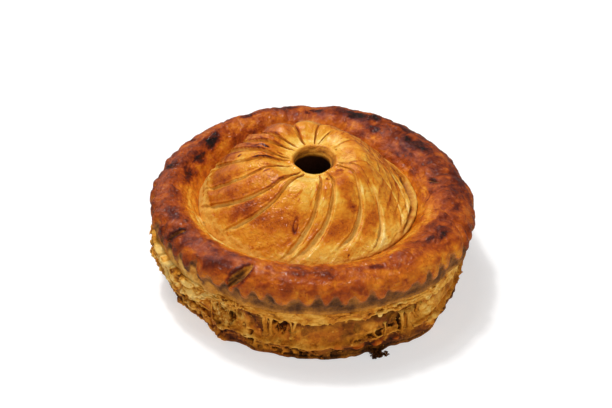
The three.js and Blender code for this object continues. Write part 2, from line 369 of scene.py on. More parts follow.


# How glazed pastry darkens as it bakes and where painted shade is added, and bare pastry: the share
# baked, the colour there.
GLAZED = [
    (0.00, linear(248, 216, 134)),
    (0.14, linear(240, 188, 78)),
    (0.30, linear(226, 146, 36)),
    (0.45, linear(202, 106, 18)),
    (0.60, linear(162, 68, 12)),
    (0.78, linear(98, 32, 9)),
    (1.00, linear(24, 14, 11)),
]
BARE = [
    (0.00, linear(248, 202, 112)),
    (0.22, linear(234, 172, 72)),
    (0.45, linear(204, 130, 34)),
    (0.65, linear(150, 90, 22)),
    (0.82, linear(98, 54, 12)),
    (1.00, linear(38, 19, 6)),
]
# A dark brown that hollows are mixed towards: painted shade.
PAINTED_SHADE_BROWN = linear(44, 19, 4)


class Nodes:
    """Short names for building a material's nodes."""

    def __init__(self, name):
        self.material = bpy.data.materials.new(name)
        self.material.use_nodes = True
        self.tree = self.material.node_tree
        self.tree.nodes.clear()
        self.coordinates = self.add("TexCoord").outputs["Object"]

    def add(self, kind, inputs=None, **settings):
        node = self.tree.nodes.new("ShaderNode" + kind)
        for key, value in settings.items():
            setattr(node, key, value)
        for key, value in (inputs or {}).items():
            self.put(node.inputs[key], value)
        return node

    def put(self, socket, value):
        if isinstance(value, bpy.types.NodeSocket):
            self.tree.links.new(value, socket)
        else:
            socket.default_value = value

    def field(self, name):
        return self.add("Attribute", attribute_name=name).outputs["Fac"]

    def math(self, operation, *values, clamp=False):
        inputs = dict(enumerate(values))
        return self.add("Math", inputs, operation=operation, use_clamp=clamp).outputs[0]

    def more(self, base, value, scale, clamp=False):
        """Base with value added, scaled."""
        return self.math("MULTIPLY_ADD", value, scale, base, clamp=clamp)

    def noise(self, size, detail=4.0, roughness=0.55, warp=0.0):
        """Noise with features of about size millimetres, from -0.5 to 0.5."""
        value = self.add("TexNoise", {
            "Vector": self.coordinates, "Scale": 1 / (size * MM), "Detail": detail,
            "Roughness": roughness, "Distortion": warp}).outputs["Fac"]
        return self.math("SUBTRACT", value, 0.5)

    def step(self, value, low, high):
        """0 below low, 1 above high, smooth between."""
        return self.add("MapRange", {"Value": value, "From Min": low, "From Max": high},
                        interpolation_type="SMOOTHSTEP").outputs["Result"]

    def ramp(self, value, stops):
        node = self.add("ValToRGB", {"Fac": value})
        elements = node.color_ramp.elements
        for place, colour in stops[1:-1]:
            elements.new(place).color = colour
        elements[0].position, elements[0].color = stops[0]
        elements[-1].position, elements[-1].color = stops[-1]
        return node.outputs["Color"]

    def mix(self, share, first, second):
        node = self.add("Mix", data_type="RGBA")
        for socket, value in zip((node.inputs["Factor"], node.inputs[6], node.inputs[7]),
                                 (share, first, second)):
            self.put(socket, value)
        return node.outputs[2]

    def bump(self, height, strength, distance, normal=None):
        inputs = {"Height": height, "Strength": strength, "Distance": distance * MM}
        if normal is not None:
            inputs["Normal"] = normal
        return self.add("Bump", inputs).outputs["Normal"]

    def finish(self, colour, roughness, normal, **constants):
        shader = self.add("BsdfPrincipled", {
            "Base Color": colour, "Roughness": roughness, "Normal": normal})
        for key, value in constants.items():
            shader.inputs[key.replace("_", " ")].default_value = value
        output = self.add("OutputMaterial")
        self.tree.links.new(shader.outputs[0], output.inputs[0])
        return self.material


def crust_material(name, gloss, mottle, freckles, veins, lumps, grit, shine):
    """Baked pastry. Fields: bake is how dark it is, from baking and from painted shade; raw how
    bare of glaze; deep how far painted shade darkens hollows towards a dark brown.
    Veins darkens thin wandering lines, or lightens them where it is below 0. Grit is how much
    the finest unevenness counts."""
    n = Nodes(name)
    bake_and_shade, raw, painted_shade = (n.field(key) for key in FIELDS)
    browned = n.more(bake_and_shade, n.noise(6.0, 5, grit, warp=0.5), mottle)
    browned = n.more(browned, n.noise(1.5, 4, 0.6), mottle * grit)
    spotted = n.math("MULTIPLY", n.step(n.noise(1.3, 3, 0.6), 0.08, 0.2),
                     n.step(n.noise(9.0, 3), 0.0, 0.12))
    browned = n.more(browned, spotted, freckles)
    wandering = n.math("ABSOLUTE", n.noise(5.0, 5, 0.62, warp=1.6))
    line = n.math("MULTIPLY", n.step(wandering, 0.024, 0.004),
                  n.step(n.noise(12.0, 3), -0.05, 0.08))
    browned = n.more(browned, line, veins, clamp=True)
    crumb = n.noise(0.55, 4, 0.7)
    bare_tone = n.more(browned, crumb, 0.42, clamp=True)
    colour = n.mix(raw, n.ramp(browned, GLAZED), n.ramp(bare_tone, BARE))
    # Painted shade: hollows are mixed towards a dark brown.
    colour = n.mix(painted_shade, colour, PAINTED_SHADE_BROWN)
    roughness = n.more(gloss, raw, 0.8 - gloss)
    roughness = n.more(roughness, n.noise(2.5, 4), 0.35, clamp=True)
    skin = n.bump(n.noise(2.2, 6, grit, warp=0.6), 0.6, lumps)
    creased = n.math("ABSOLUTE", n.noise(3.4, 5, grit, warp=1.0))
    skin = n.bump(creased, 0.7, 1.3 * lumps, skin)
    grain = n.bump(crumb, n.more(0.08, raw, 0.6), 0.35, skin)
    return n.finish(colour, roughness, grain, Specular_IOR_Level=shine)


# ------------------------------------------------------------------ lid

# Spiral cuts: angle at the vent, half way and at the seam, the share of the way where it
# fades out, half width and depth.
CUTS = [
    (-154, -156, -184, 0.95, 0.55, 0.9), (-123, -133, -169, 1, 0.95, 1),
    (-113, -120, -143, 0.97, 1, 1.1), (-78, -86, -104, 1, 1.35, 1.1),
    (-58, -73, -99, 1, 1.45, 1.2), (-24, -44, -84, 0.9, 1.45, 1.3),
    (-14, -26, -56, 0.98, 1.1, 1.4), (-24, -5, -38, 0.98, 0.6, 1.1), (38, 25, -32, 1, 0.6, 1.2),
    (80, 50, 20, 1, 0.8, 1.2), (88, 75, 42, 1, 1.1, 1.4), (112, 107, 74, 1, 1.1, 1.5),
    (132, 137, 104, 1, 0.9, 1.6), (147, 153, 124, 1, 0.9, 1.6), (181, 167, 140, 1, 0.9, 1.5),
    (187, 184, 152, 1, 0.7, 1.2),
]
# The last fold at the right, which hangs clear of the rim: by angle, how far out it lies, as
# a share of the way to the seam, and how deep the dough lies behind it.
LAST_FOLD = {
    -180: 1.1, -45: 1.06, -28: 0.94, -19: 0.915, -11: 0.92, -5: 0.9, 4: 0.84, 13: 0.785, 23: 0.755,
    32: 0.77, 42: 0.85, 52: 0.98, 62: 1.1,
}
GAP_DEPTH = {
    -40: 1, -9: 1.2, -5: 4.2, 14: 4.4, 18: 1, 28: 0.9, 40: 2.4, 70: 2,
}
# How far inside the last fold the folds nested in it lie.
NESTED_FOLDS = (3.4, 7.2, 12.0, 17.5)
LID_ROWS = 136
LID_COLUMNS = 720
LID_TWIST = -30
# Dark spots on the lid: radius, angle, half length outwards, half width, how dark.
LID_SPOTS = [
    (38.4, 176.6, 1.5, 0.8, 0.5), (26.8, 174, 1.2, 0.6, 0.54), (25.6, 169, 1.6, 0.7, 0.5),
    (29.7, -174, 1.3, 0.6, 0.38), (28.7, -168, 1.3, 0.6, 0.4), (29.4, 167, 4, 0.6, 0.34),
    (18.4, 171, 1.6, 0.7, 0.28), (28.6, -147, 2.6, 0.6, 0.36), (20.8, -152, 3, 0.6, 0.36),
    (44.8, -136, 5, 1.8, 0.08), (42.6, -135, 3.6, 1.3, 0.08), (57.6, -69, 0.6, 0.5, 0.6),
    (14.1, 32, 0.6, 0.5, 0.6), (20.5, -70, 1.6, 0.7, 0.34), (17.5, -38, 3, 1.6, 0.2),
    (27, -54, 14, 6, 0.22), (26, -75, 12, 3, 0.16), (39, -86, 3, 1, 0.16), (43, -34, 2.4, 1, 0.1),
    (47, -42, 1.4, 1.2, 0.1), (51.6, -66, 1.2, 0.9, 0.2),
]
# The small burst blister: radius, angle, half length, half width, wall.
LID_BLISTER = (45.0, -99.8, 2.8, 1.05, 0.34)


def dome_height(radius):
    dome = SEAM_HEIGHT + LID_RISE * np.maximum(0, 1 - (radius / SEAM_RADIUS) ** 2) ** DOME_POWER
    mouth = SEAM_HEIGHT + LID_RISE * (1 - (MOUTH_RADIUS / SEAM_RADIUS) ** 2) ** DOME_POWER
    dip = mouth - MOUTH_HEIGHT
    return dome - dip * fall(radius, MOUTH_RADIUS, FUNNEL_RADIUS)


def lid_profile():
    """Up the lid's hidden foot, over the dome, into the vent and down to its floor."""
    foot = np.array([[SEAM_RADIUS, z] for z in np.linspace(LID_FOOT, SEAM_HEIGHT, 8)[:-1]])
    angle = np.linspace(pi / 2, asin(MOUTH_RADIUS / SEAM_RADIUS), 400)
    radius = SEAM_RADIUS * np.sin(angle)
    dome = np.stack([radius, dome_height(radius)], -1)
    lip = curve_through([(MOUTH_RADIUS, MOUTH_HEIGHT), (11.8, 66.9), (11.0, 65.6), (10.4, 64.2),
                         (THROAT_RADIUS, THROAT_HEIGHT)])[1:]
    bore = np.array([[THROAT_RADIUS + 0.5, z]
                     for z in np.linspace(THROAT_HEIGHT - 1, VENT_FLOOR_HEIGHT, 6)])
    return np.vstack([foot, dome, lip, bore])


def lid_swell(theta, share, radius):
    """How the lid departs from a round dome: full at the left, sunk at the right, tilted."""
    flank = np.sin(pi * share ** FLANK_POWER)
    swell = BACK_FLANK_RISE * np.sin(theta) - LEFT_FLANK_RISE * np.cos(theta)
    return flank * (swell - FLANK_SINK) + LID_TILT * (1 - share) * radius * np.sin(theta)


def cut_path(cut, share):
    """The angle of a cut at a share of the way to the seam, and how fast it changes."""
    at_vent, half, at_seam = cut[:3]
    bend = 2 * (at_seam - 2 * half + at_vent)
    angle = at_vent + 2 * (half - at_vent) * share + bend * share * (share - 0.5)
    slope = 2 * (half - at_vent) + bend * (2 * share - 0.5)
    return np.radians(angle), np.radians(slope)


def cut_fields(theta, share, radius, wander):
    """Depth of the cuts, how near their dark edges (toasted, with painted shade) and their pale
    edges are, the distance to the nearest cut on each side, and the distance across the nearest
    one."""
    channel, dark_edge, pale_edge = np.zeros((3, *theta.shape))
    after, before, across = np.full((3, *theta.shape), 30.0)
    for cut in CUTS:
        end, half_width, depth = cut[3:]
        middle, slope = cut_path(cut, share)
        slant = np.hypot(1, radius * slope / LID_RUN)
        away = (between(theta, middle) * radius + 0.4 * wander) / slant
        width = half_width * (0.5 + 0.9 * share) * (1 + 0.25 * wander)
        alive = ease(share, -0.01, 0.06) * fall(share, end - 0.1, end + 0.01)
        alive = alive * (1 if end < 1 else 1 - 0.75 * ease(share, 0.93, 1))
        distance = np.abs(away)
        cut_depth = alive * depth * (1.1 - 0.45 * share)
        channel = np.maximum(channel, cut_depth * fall(distance, 0.5 * width, width))
        dark_edge = np.maximum(dark_edge, alive * bell(away, -1.2 * width, 0.7))
        pale_edge = np.maximum(pale_edge, alive * bell(distance, 1.3 * width, 0.6))
        far = distance + 25 * (1 - alive)
        across = np.where(distance < np.abs(across), away, across)
        after = np.where(away > 0, np.minimum(after, far), after)
        before = np.where(away <= 0, np.minimum(before, far), before)
    return channel, dark_edge, pale_edge, after, before, across


def make_lid(material):
    def closeness(p):
        hidden = (p[:, 1] < SEAM_HEIGHT - 1) | (p[:, 1] < THROAT_HEIGHT) & (p[:, 0] < 12)
        return np.where(hidden, 0.2, 1.0)
    profile = resample(lid_profile(), LID_ROWS, closeness)
    radius, height = profile[:, :1], profile[:, 1:]
    share = np.clip((radius - MOUTH_RADIUS) / LID_RUN, 0, 1)
    turn = np.linspace(0, TURN, LID_COLUMNS, endpoint=False)[None, :]
    theta = turn + radians(LID_TWIST) * share ** 1.8
    at = partial(hump, theta)
    outside = ease(height, SEAM_HEIGHT - 2, SEAM_HEIGHT + 0.6) * ease(radius, 10.2, 13)
    back_left = at(135, 62)

    flat = np.stack(np.broadcast_arrays(radius * np.cos(theta), radius * np.sin(theta), height), -1)
    petals = round_coordinates(turn, radius * 0.35, 24)
    wander = fractal(flat, 7, 41, 3)
    channel, dark_edge, pale_edge, after, before, across = cut_fields(theta, share, radius, wander)
    puff = (1.3 + 1.9 * back_left) * ease(share, 0.02, 0.35) * (1 - 0.5 * ease(share, 0.75, 1))
    nearest = np.minimum(after, before) / (2.6 + 0.8 * back_left)
    pillow = puff * (1 - np.exp(-nearest ** 1.3) - 0.6)
    folded = at(-2, 44) * ease(share, 0.15, 0.4)
    lapping = 0.5 + 1.1 * folded + 0.9 * back_left * ease(share, 0.1, 0.35)
    overlap = lapping * (after / (after + before) - 0.5) * ease(15 - after - before, 0, 6)
    streaks = ridges(warped(petals, 1, 6, 9), (3.4, 3), 88, 2) - 0.5
    fine = fractal(flat, 2.6, 8, 3)
    calm = 1 - at(8, 30) * ease(share, 0.45, 0.72)
    relief = calm * (pillow + overlap - 0.8 * channel) - 0.2 * channel
    relief += 0.5 * fractal(flat, 13, 5) + 0.25 * (dark_edge + pale_edge)
    relief += 0.22 * fine + (0.18 + 0.5 * folded) * streaks
    # Soft folds that run round the foot, and layers along the floors of the cuts.
    foot_band = band_of(share, 0.8, 0.94, 0.06)
    round_foot = round_coordinates(theta, height, SEAM_RADIUS)
    folds = ridges(warped(round_foot, 2.4, 7, 70), (9, 2.6), 77, 2)
    relief += 0.6 * foot_band * (folds - 0.55) * ease(noise(flat, 9, 73), -0.1, 0.4)
    striped = np.stack(np.broadcast_arrays(across, share * 50, 0.0), -1)
    layers = noise(striped, (0.42, 6, 1), 45)
    relief += 0.22 * ease(channel, 0.4, 0.7) * layers
    throat = fall(radius, 10, 13)
    wall_layers = noise(round_coordinates(theta, height, 11), (5, 0.8), 19)
    relief = outside * relief + throat * (0.22 * wall_layers + 0.3 * noise(flat, 2.5, 23))
    # Behind the last fold the lid drops, and the dough under it shows.
    fold_share = track(LAST_FOLD, theta)
    beyond = (share - fold_share) * LID_RUN + 0.4 * wander
    sunk = ease(beyond, 0, 1.2) * fall(share, 0.96, 0.99)
    edge = bell(beyond, -1, 0.8) * ease(1.03 - fold_share, 0, 0.08)
    nested, lapped = np.zeros((2, *relief.shape))
    for offset in NESTED_FOLDS:
        past = beyond + offset + 0.8 * wander
        nested = np.maximum(nested, bell(past, 0.5, 0.6))
        lapped += np.clip(1 + past / 4.2, 0, 1) ** 2 * fall(past, -0.6, 1.2)
    nested *= at(8, 34) * (1 - sunk)
    lapped *= at(8, 34) * (1 - sunk)
    relief += outside * (0.6 * edge + 0.7 * lapped - track(GAP_DEPTH, theta) * sunk)
    relief[[0, -1]] = 0

    # How far it is baked, with painted shade: petals, edges of the cuts, folds, spots, foot, gap
    # and throat.
    upper = ease(share, 0.75, 0.25)
    toast = fractal(warped(flat, 4, 12, 60), 11, 61)
    bake_and_shade = 0.46 - 0.11 * upper + (0.15 + 0.1 * upper) * toast
    bake_and_shade += 0.02 * back_left * ease(share, 0.2, 0.4)
    bake_and_shade += 0.03 * at(-112, 32) * (1 - upper) - 0.13 * at(-98, 40) * upper
    dashes = ease(noise(petals, (2.2, 2.6), 67), 0, 0.6)
    # The dark edge on one side of each cut is part toasting, part painted shade.
    dark_edge = dark_edge * ease(share, 0.04, 0.15)
    bake_and_shade += dark_edge * (0.06 + 0.26 * dashes * upper + 0.18 * folded)
    bake_and_shade += 0.16 * folded * streaks + 0.04 * edge - 0.13 * pale_edge * (1 - 0.6 * upper)
    scribbles = ridges(warped(petals, 1.2, 5, 7), (2.2, 3.2), 66, 2)
    scribbled = ease(scribbles, 0.66, 0.9) * ease(fractal(flat, 17, 71, 2), -0.15, 0.25)
    bake_and_shade += 0.26 * upper * scribbled - 0.08 * (folds - 0.5) * foot_band
    bake_and_shade -= 0.07 * ease(share, 0.6, 0.85) + 0.18 * ease(share, 0.72, 0.98)
    # Painted light: the front right flank is made lighter.
    bake_and_shade -= 0.1 * at(-25, 45) * ease(share, 0.2, 0.5)
    bake_and_shade += 0.14 * at(-165, 46) * ease(share, 0.55, 0.85)
    bake_and_shade -= 0.05 * at(-125, 70) * band_of(share, 0.2, 0.6, 0.15)
    bake_and_shade += 0.26 * nested - 0.08 * lapped
    bake_and_shade -= 0.24 * fall(radius, 15, 27) * (0.3 + 0.7 * at(130, 72))
    for middle, angle, half_length, half_width, dark in LID_SPOTS:
        reach = reach_of(theta, angle, radius, half_width, radius - middle, half_length)
        bake_and_shade += dark * fall(reach + 0.4 * fine, 0.5, 1.2)
    middle, angle, half_length, half_width, wall = LID_BLISTER
    reach = reach_of(theta, angle, radius, half_width, radius - middle, half_length)
    ring = bell(reach, 1, wall)
    bake_and_shade += 0.27 * ring
    relief -= 0.45 * ring * outside
    raw = np.maximum(ease(channel, 0.3, 0.8), throat)
    bake_and_shade = np.where(channel > 0.4, 0.16 + 0.3 * ease(share, 0.62, 0.2) + 0.16 * layers, bake_and_shade)
    chips = noise(flat, 2.6, 24)
    skirt = 0.07 * at(175, 26) * (1 + chips) + 0.07 * at(-28, 9)
    skirt += 0.045 * at(-138, 26) * (1 + 0.5 * chips) + 0.008 * chips
    pale_foot = ease(share + skirt, 0.968, 0.982) * (1 - 0.8 * at(14, 26))
    raw = np.maximum(raw, 0.6 * pale_foot)
    bake_and_shade = blend(bake_and_shade, 0.22 - 0.1 * at(175, 26) + 0.12 * chips, pale_foot)
    relief += 0.4 * pale_foot * chips * outside
    open_gap = sunk * band_of(np.degrees(between(theta, 0)), -4, 15, 2)
    flap = sunk * at(23, 5)
    # The dough behind the last fold, with a painted shadow just behind the fold's edge.
    under = 0.52 + 0.1 * open_gap - 0.06 * flap + 0.34 * fine - 0.2 * at(-25, 10)
    bake_and_shade = blend(bake_and_shade, under, sunk) + 0.3 * sunk * bell(beyond, 1.3, 0.9) * (open_gap + flap)
    raw = np.maximum(raw, 0.6 * sunk + 0.3 * open_gap - 0.5 * flap)
    bake_and_shade = blend(bake_and_shade, 0.58 - 0.12 * at(10, 60) + 0.28 * wall_layers, throat)
    # Painted shade: the vent's bore, a band towards the seam and the gap behind the last fold are
    # darkened towards a dark brown.
    inside_vent = fall(height, THROAT_HEIGHT - 0.3, THROAT_HEIGHT + 0.3)
    towards_seam = 0.05 * ease(share, 0.55, 0.8) + 0.09 * ease(share, 0.8, 0.97)
    painted_shade = np.where(radius < 12, inside_vent, 0) + towards_seam * (1 - throat)
    painted_shade = painted_shade + sunk * (0.08 + 0.2 * open_gap)

    grid = revolve(profile, theta, relief)
    grid[..., 0] += LID_CENTRE_X * share
    grid[..., 2] += lid_swell(theta, share, radius) * ease(height, SEAM_HEIGHT - 3, SEAM_HEIGHT)
    # The mouth of the vent is cut in straight runs and lies lower in front, and the throat
    # under it stands a little to the left.
    mouth = fall(radius, 13, 22) * ease(height, THROAT_HEIGHT, 66)
    run = 0.5 * at(-92, 22) - 0.8 * at(-135, 17) - 0.6 * at(-50, 17) - 0.4 * at(150, 16)
    push_out(grid, theta, mouth * run)
    grid[..., 2] -= 1.2 * mouth * at(-90, 62)
    grid[..., 0] += THROAT_X * (radius < 12.5) * fall(height, THROAT_HEIGHT, 66.5)
    caps = [[LID_CENTRE_X, 0, LID_FOOT], [THROAT_X, 0, VENT_FLOOR_HEIGHT]]
    add_skin("lid_crust", grid, (bake_and_shade, raw, painted_shade), material, "dome_lid", caps)


# ------------------------------------------------------------------ rim

RIM_STATIONS = [
    (88.6, RIM_FOOT - 0.8), (88.5, 35.2), (88.7, 37), (89.4, 39), (89.6, 41.6), (89.2, 44),
    (87.8, 47), (84, 49.6), (78.5, 51.2), (73, 50.4), (68, 47.4), (64.2, 43.8), (61.8, 41),
    (SEAM_RADIUS + 0.1, 39.4), (SEAM_RADIUS + 0.2, 37.4), (SEAM_RADIUS + 0.3, RIM_FOOT),
]
RIM_ROWS = 84
RIM_COLUMNS = 21 * SCALLOPS
SCALLOP_LOW = 38.8
SCALLOP_RISE = 4.4
SCALLOP_DEPTH = 1.0
CHARRED = 0.93

# Burnt patches: angle, radius, half size round and across the rim, and how dark.
BURNS = [
    (144, 72, 5.5, 3.4, 0.44), (139, 75, 3, 2.4, 0.34), (156, 69, 5.6, 3, 0.36),
    (170, 69, 7.5, 3.4, 0.3), (88, 77, 6.5, 2.6, 0.4), (70, 76, 7, 3, 0.66),
    (62, 78, 3.6, 2, 0.62), (57, 71.5, 5.5, 2.4, 0.36), (50, 81, 7.5, 2.2, 0.4),
    (41, 75, 2.6, 1.8, 0.34), (33, 76, 6, 2.6, 0.32), (-34, 80.3, 4.8, 1.5, 0.3),
    (-40, 77.6, 4.2, 1.7, 0.3), (102, 82, 6, 2.4, 0.26), (120, 80, 5, 2.2, 0.3),
    (7, 69.5, 3.4, 1.8, 0.26), (-6, 65.5, 2, 1.4, 0.24), (-68, 79, 5, 1.6, 0.2),
]
# Slits and pleats: the angle and the run along the section at both ends, half width, depth.
SLITS = [
    (-119.6, 8.4, -112.8, 25.4, 3.1, 3.4), (-149.8, 11.6, -145.4, 23.8, 1.25, 2.6),
    (167, 14.5, 171, 26, 0.9, 2.2), (148, 13, 148, 24, 0.8, 2), (2, 30.6, 10.4, 38.6, 0.8, 1),
    (-6.5, 38, -35, 28, 0.8, 0.45), (-29, 30, -44, 21, 0.8, 0.5), (24, 36, 12, 30, 0.9, 0.5),
]
# Creases that cross the rim: angle at the inside, angle at the outside, half width, depth.
CREASES = [
    (-23, -24, 1.2, 1.3), (11, 9, 1.6, 1), (168, 167, 1.2, 1), (-12, -30, 1, 1.1),
    (-62, -66, 1.1, 0.6), (-92, -88, 1.3, 0.5), (-135, -142, 1.2, 0.8), (60, 55, 1.2, 0.7),
    (100, 104, 1.3, 0.8), (-160, -157, 1.1, 0.7), (134, 130, 1, 0.7),
]
# How far the inner slope and the crest are baked, by angle.
SLOPE_BAKE = {
    -170: 0.3, -150: 0.14, -120: 0.18, -90: 0.3, -60: 0.34, -25: 0.42, 10: 0.48, 30: 0.6, 50: 0.6,
    90: 0.54, 130: 0.56, 160: 0.45,
}
CREST_BAKE = {
    -176: 0.66, -160: 0.64, -140: 0.64, -115: 0.64, -95: 0.6, -70: 0.57, -45: 0.56, -20: 0.64,
    15: 0.66, 50: 0.66, 90: 0.6, 115: 0.57, 145: 0.6,
}


def crest_swell(at):
    full = 1.6 * at(115, 40) + 0.8 * at(-150, 25) + 1.2 * at(68, 13)
    return full - 1.3 * at(40, 30)


def slit_fields(theta, along):
    """Depth of the slits and pleats, the layers on their floors, and how near their upper
    ends and their edges are."""
    hollow, layers, upper, lips = np.zeros((4, *np.broadcast(theta, along).shape))
    for angle, start, end_angle, end, half_width, depth in SLITS:
        du = between(theta, radians((angle + end_angle) / 2)) * WALL_BAND
        dv = along - (start + end) / 2
        half_u, half_v = radians(end_angle - angle) * WALL_BAND / 2, (end - start) / 2
        half = hypot(half_u, half_v)
        lengthwise = (du * half_u + dv * half_v) / half ** 2
        across = (du * half_v - dv * half_u) / half
        taper = np.sqrt(np.maximum(0, 1 - lengthwise ** 2))
        width = half_width * taper ** 1.4 + 0.05
        cut = depth * taper * np.maximum(0, 1 - (across / width) ** 2)
        hollow = np.maximum(hollow, cut)
        layers = np.where(cut > 0, np.sin(TURN * across / 1.7 + 2 * lengthwise ** 2), layers)
        upper = np.where(cut > 0, ease(lengthwise, 0.1, 0.8), upper)
        nearby = bell(np.abs(across), width + 0.7, 0.8) * taper
        lips = np.maximum(lips, nearby * min(1, depth / 2))
    return hollow, layers, upper, lips


def make_rim(material):
    dense = curve_through(RIM_STATIONS)
    dense = np.vstack([dense, [[74, RIM_FOOT]], dense[:1]])

    def closeness(p):
        hidden = (p[:, 1] < SEAM_HEIGHT - 1.5) & (p[:, 0] < 86)
        edge = (p[:, 0] > 86.5) & (p[:, 1] < 45)
        return np.where(hidden, 0.12, np.where(edge, 1.5, 1.0))
    profile = resample(dense, RIM_ROWS, closeness, closed=True)
    radius, height = profile[:, :1], profile[:, 1:]
    along = run_length(profile)[:, None]
    theta = np.linspace(0, TURN, RIM_COLUMNS, endpoint=False)[None, :]
    at = partial(hump, theta)
    band = round_coordinates(theta, along, RIM_BAND)
    bent = warped(band, 3, 14, 80)
    outer = ease(radius, 80, 86)
    inner = fall(radius, 65, 74)
    top = ease(height, 40.5, 45)
    visible = np.maximum(ease(height, SEAM_HEIGHT - 1.2, SEAM_HEIGHT + 1.5), outer)
    visible = visible * ease(height, RIM_FOOT - 0.2, RIM_FOOT + 1.2)

    # The glaze ends in scallops; the crimps between them are pressed in and bare.
    jitter = 0.24 * noise(band, (24, LONG), 90) + 0.14 * noise(band, (9, LONG), 89)
    crimp = ease(0.5 + 0.5 * np.cos(SCALLOPS * theta + TURN * jitter), -0.2, 1) ** 1.5
    size = 1 + 0.5 * noise(band, (11, LONG), 92)
    glaze_edge = SCALLOP_LOW + SCALLOP_RISE * size * crimp + 0.9 * noise(band, (5, LONG), 91)
    above = height - glaze_edge
    blotted = 0.9 * noise(band, 1.8, 87) + 0.5 * noise(band, 4, 88)
    raw = outer * fall(above + blotted, -2, 2.2)
    belt = outer * band_of(height, 39.2, 45.5, 3) * (1 + 1.3 * at(-178, 36))
    lip = 0.25 * outer * ease(above, -1.2, 1.2) * fall(above, 1.2, 4)
    crumbly = 0.3 * outer * raw * (noise(band, 1.1, 93) + noise(band, 2.2, 94))

    golden = at(-142, 28) * fall(radius, 71, 78)
    lumps = 1.2 * (1 - 0.5 * outer) * fractal(bent, (19, 13), 12)
    lumps = (lumps + 0.65 * fractal(band, 5.5, 14, 3)) * (1 - 0.6 * golden)
    wrinkles = ridges(bent, (9, 2.4), 15) - 0.5
    cracks = ridges(warped(band, 4, 10, 30), (6, 5), 16, 2) ** 5
    combed = ridges(bent, (24, 1.9), 25, 2) - 0.5
    relief = top * (lumps + 0.6 * wrinkles - 0.45 * cracks)
    relief += SCALLOP_DEPTH * (0.25 - 0.8 * crimp) * belt + lip + crumbly
    combed *= (0.35 + 0.65 * np.clip(at(-145, 35) + at(-20, 45), 0, 1)) * inner
    relief += 0.6 * combed * ease(height, SEAM_HEIGHT, 44) + 0.2 * fractal(band, 1.8, 29, 3)
    crease = np.zeros(relief.shape)
    for inside_angle, outside_angle, half_width, depth in CREASES:
        path = np.radians(inside_angle + (outside_angle - inside_angle) * ease(radius, 64, 90))
        away = (between(theta, path) * radius + 1.6 * noise(band, 8, 35)) / half_width
        crease = np.maximum(crease, depth * np.exp(-np.abs(away) ** 1.4) * ease(radius, 64, 72))
    relief = visible * (relief - top * crease)

    hollow, layers, upper_end, lips = slit_fields(theta, along)
    relief = relief * (1 - 0.7 * ease(hollow, 0, 0.8)) - hollow + 0.12 * layers + 0.3 * lips
    relief[radius[:, 0] < SEAM_RADIUS + 0.25] = 0
    relief[height[:, 0] < RIM_FOOT - 0.3] = 0

    # How far it is baked: slope and crest, burns, the bare dough under the glaze, slits, and
    # painted shade and light in the slits and pleats.
    burn = np.zeros(relief.shape)
    ragged = 1.1 * fractal(bent, (6, 3.2), 51, 5, 0.62)
    for angle, middle, half_along, half_across, dark in BURNS:
        reach = reach_of(theta, angle, middle, half_along, radius - middle, half_across) + ragged
        burnt = dark * (0.66 * fall(reach, 0.45, 1) + 0.34 * fall(reach, 0.7, 2))
        burn = np.maximum(burn, burnt)
    slope_share = fall(radius, 64 + 2 * at(-138, 26), 76 + 2 * wrinkles)
    bake_and_shade = blend(track(CREST_BAKE, theta), track(SLOPE_BAKE, theta), slope_share)
    patches = fractal(warped(band, 5, 15, 37), (15, 8), 33)
    proud = np.clip(relief - blurred(relief, 12), -0.7, 0.7)
    bake_and_shade += 0.26 * patches - 0.14 * outer * fall(height, 40, 47) + burn + 0.16 * proud
    bake_and_shade += 0.22 * combed - 0.1 * cracks * top + 0.1 * crease * top
    bake_and_shade = np.minimum(bake_and_shade, CHARRED) - 0.04 * outer * fall(above, 0.5, 3)
    paler = 0.42 * at(-142, 22) * ease(-above, 1.6, 4.6) + 0.16 * fall(height, 33.2, 35.2)
    bare = 0.73 + 0.03 * crimp - paler + 0.08 * noise(band, 3, 95)
    bare += 0.26 * at(-145, 24) * fractal(band, 4.5, 97, 3)
    # Painted shade darkens the pleats and slits; their edges are darkened too.
    bake_and_shade = blend(bake_and_shade, bare, raw) + 0.16 * ease(hollow, 0.1, 0.5) + 0.14 * lips
    opened = ease(hollow, 0.6, 1)
    # Slit floors, layered: painted shade darkens them towards the lower end and painted light
    # lightens the upper end.
    cut_bake = 0.76 - 0.4 * upper_end + 0.1 * layers + 0.1 * noise(band, 1.6, 96)
    bake_and_shade = np.where(opened > 0.3, cut_bake, bake_and_shade)
    raw = np.maximum(raw, opened)
    # Painted shade in the deeper slits, less at their upper ends.
    painted_shade = 0.3 * ease(hollow, 1, 3) * (1 - upper_end)

    grid = revolve(profile, theta, relief, closed=True)
    grid[..., 0] += LID_CENTRE_X + (RIM_CENTRE_X - LID_CENTRE_X) * ease(radius, SEAM_RADIUS, 84)
    ring = round_coordinates(theta, 0, EDGE_BAND)
    swell = at(-28, 12) + 0.8 * at(-165, 20) - 3.4 * at(10, 26)
    wavy = 0.7 * noise(ring, 9, 61) + 0.4 * noise(ring, 4, 62)
    push_out(grid, theta, swell * ease(radius, SEAM_RADIUS, PIE_RADIUS - 4) + wavy * outer)
    uneven = 0.9 * noise(ring, 14, 63) + 0.5 * noise(ring, 6, 64)
    grid[..., 2] += (crest_swell(at) + uneven * np.abs(np.sin(theta))) * ease(height, 41, 50)
    grid[..., 2] += RIM_TILT * grid[..., 0] * np.clip((height - RIM_FOOT) / 8, 0, 1)
    add_skin("rim_glazed", grid, (bake_and_shade, raw, painted_shade), material, "rim_crust")


# ------------------------------------------------------------------ base

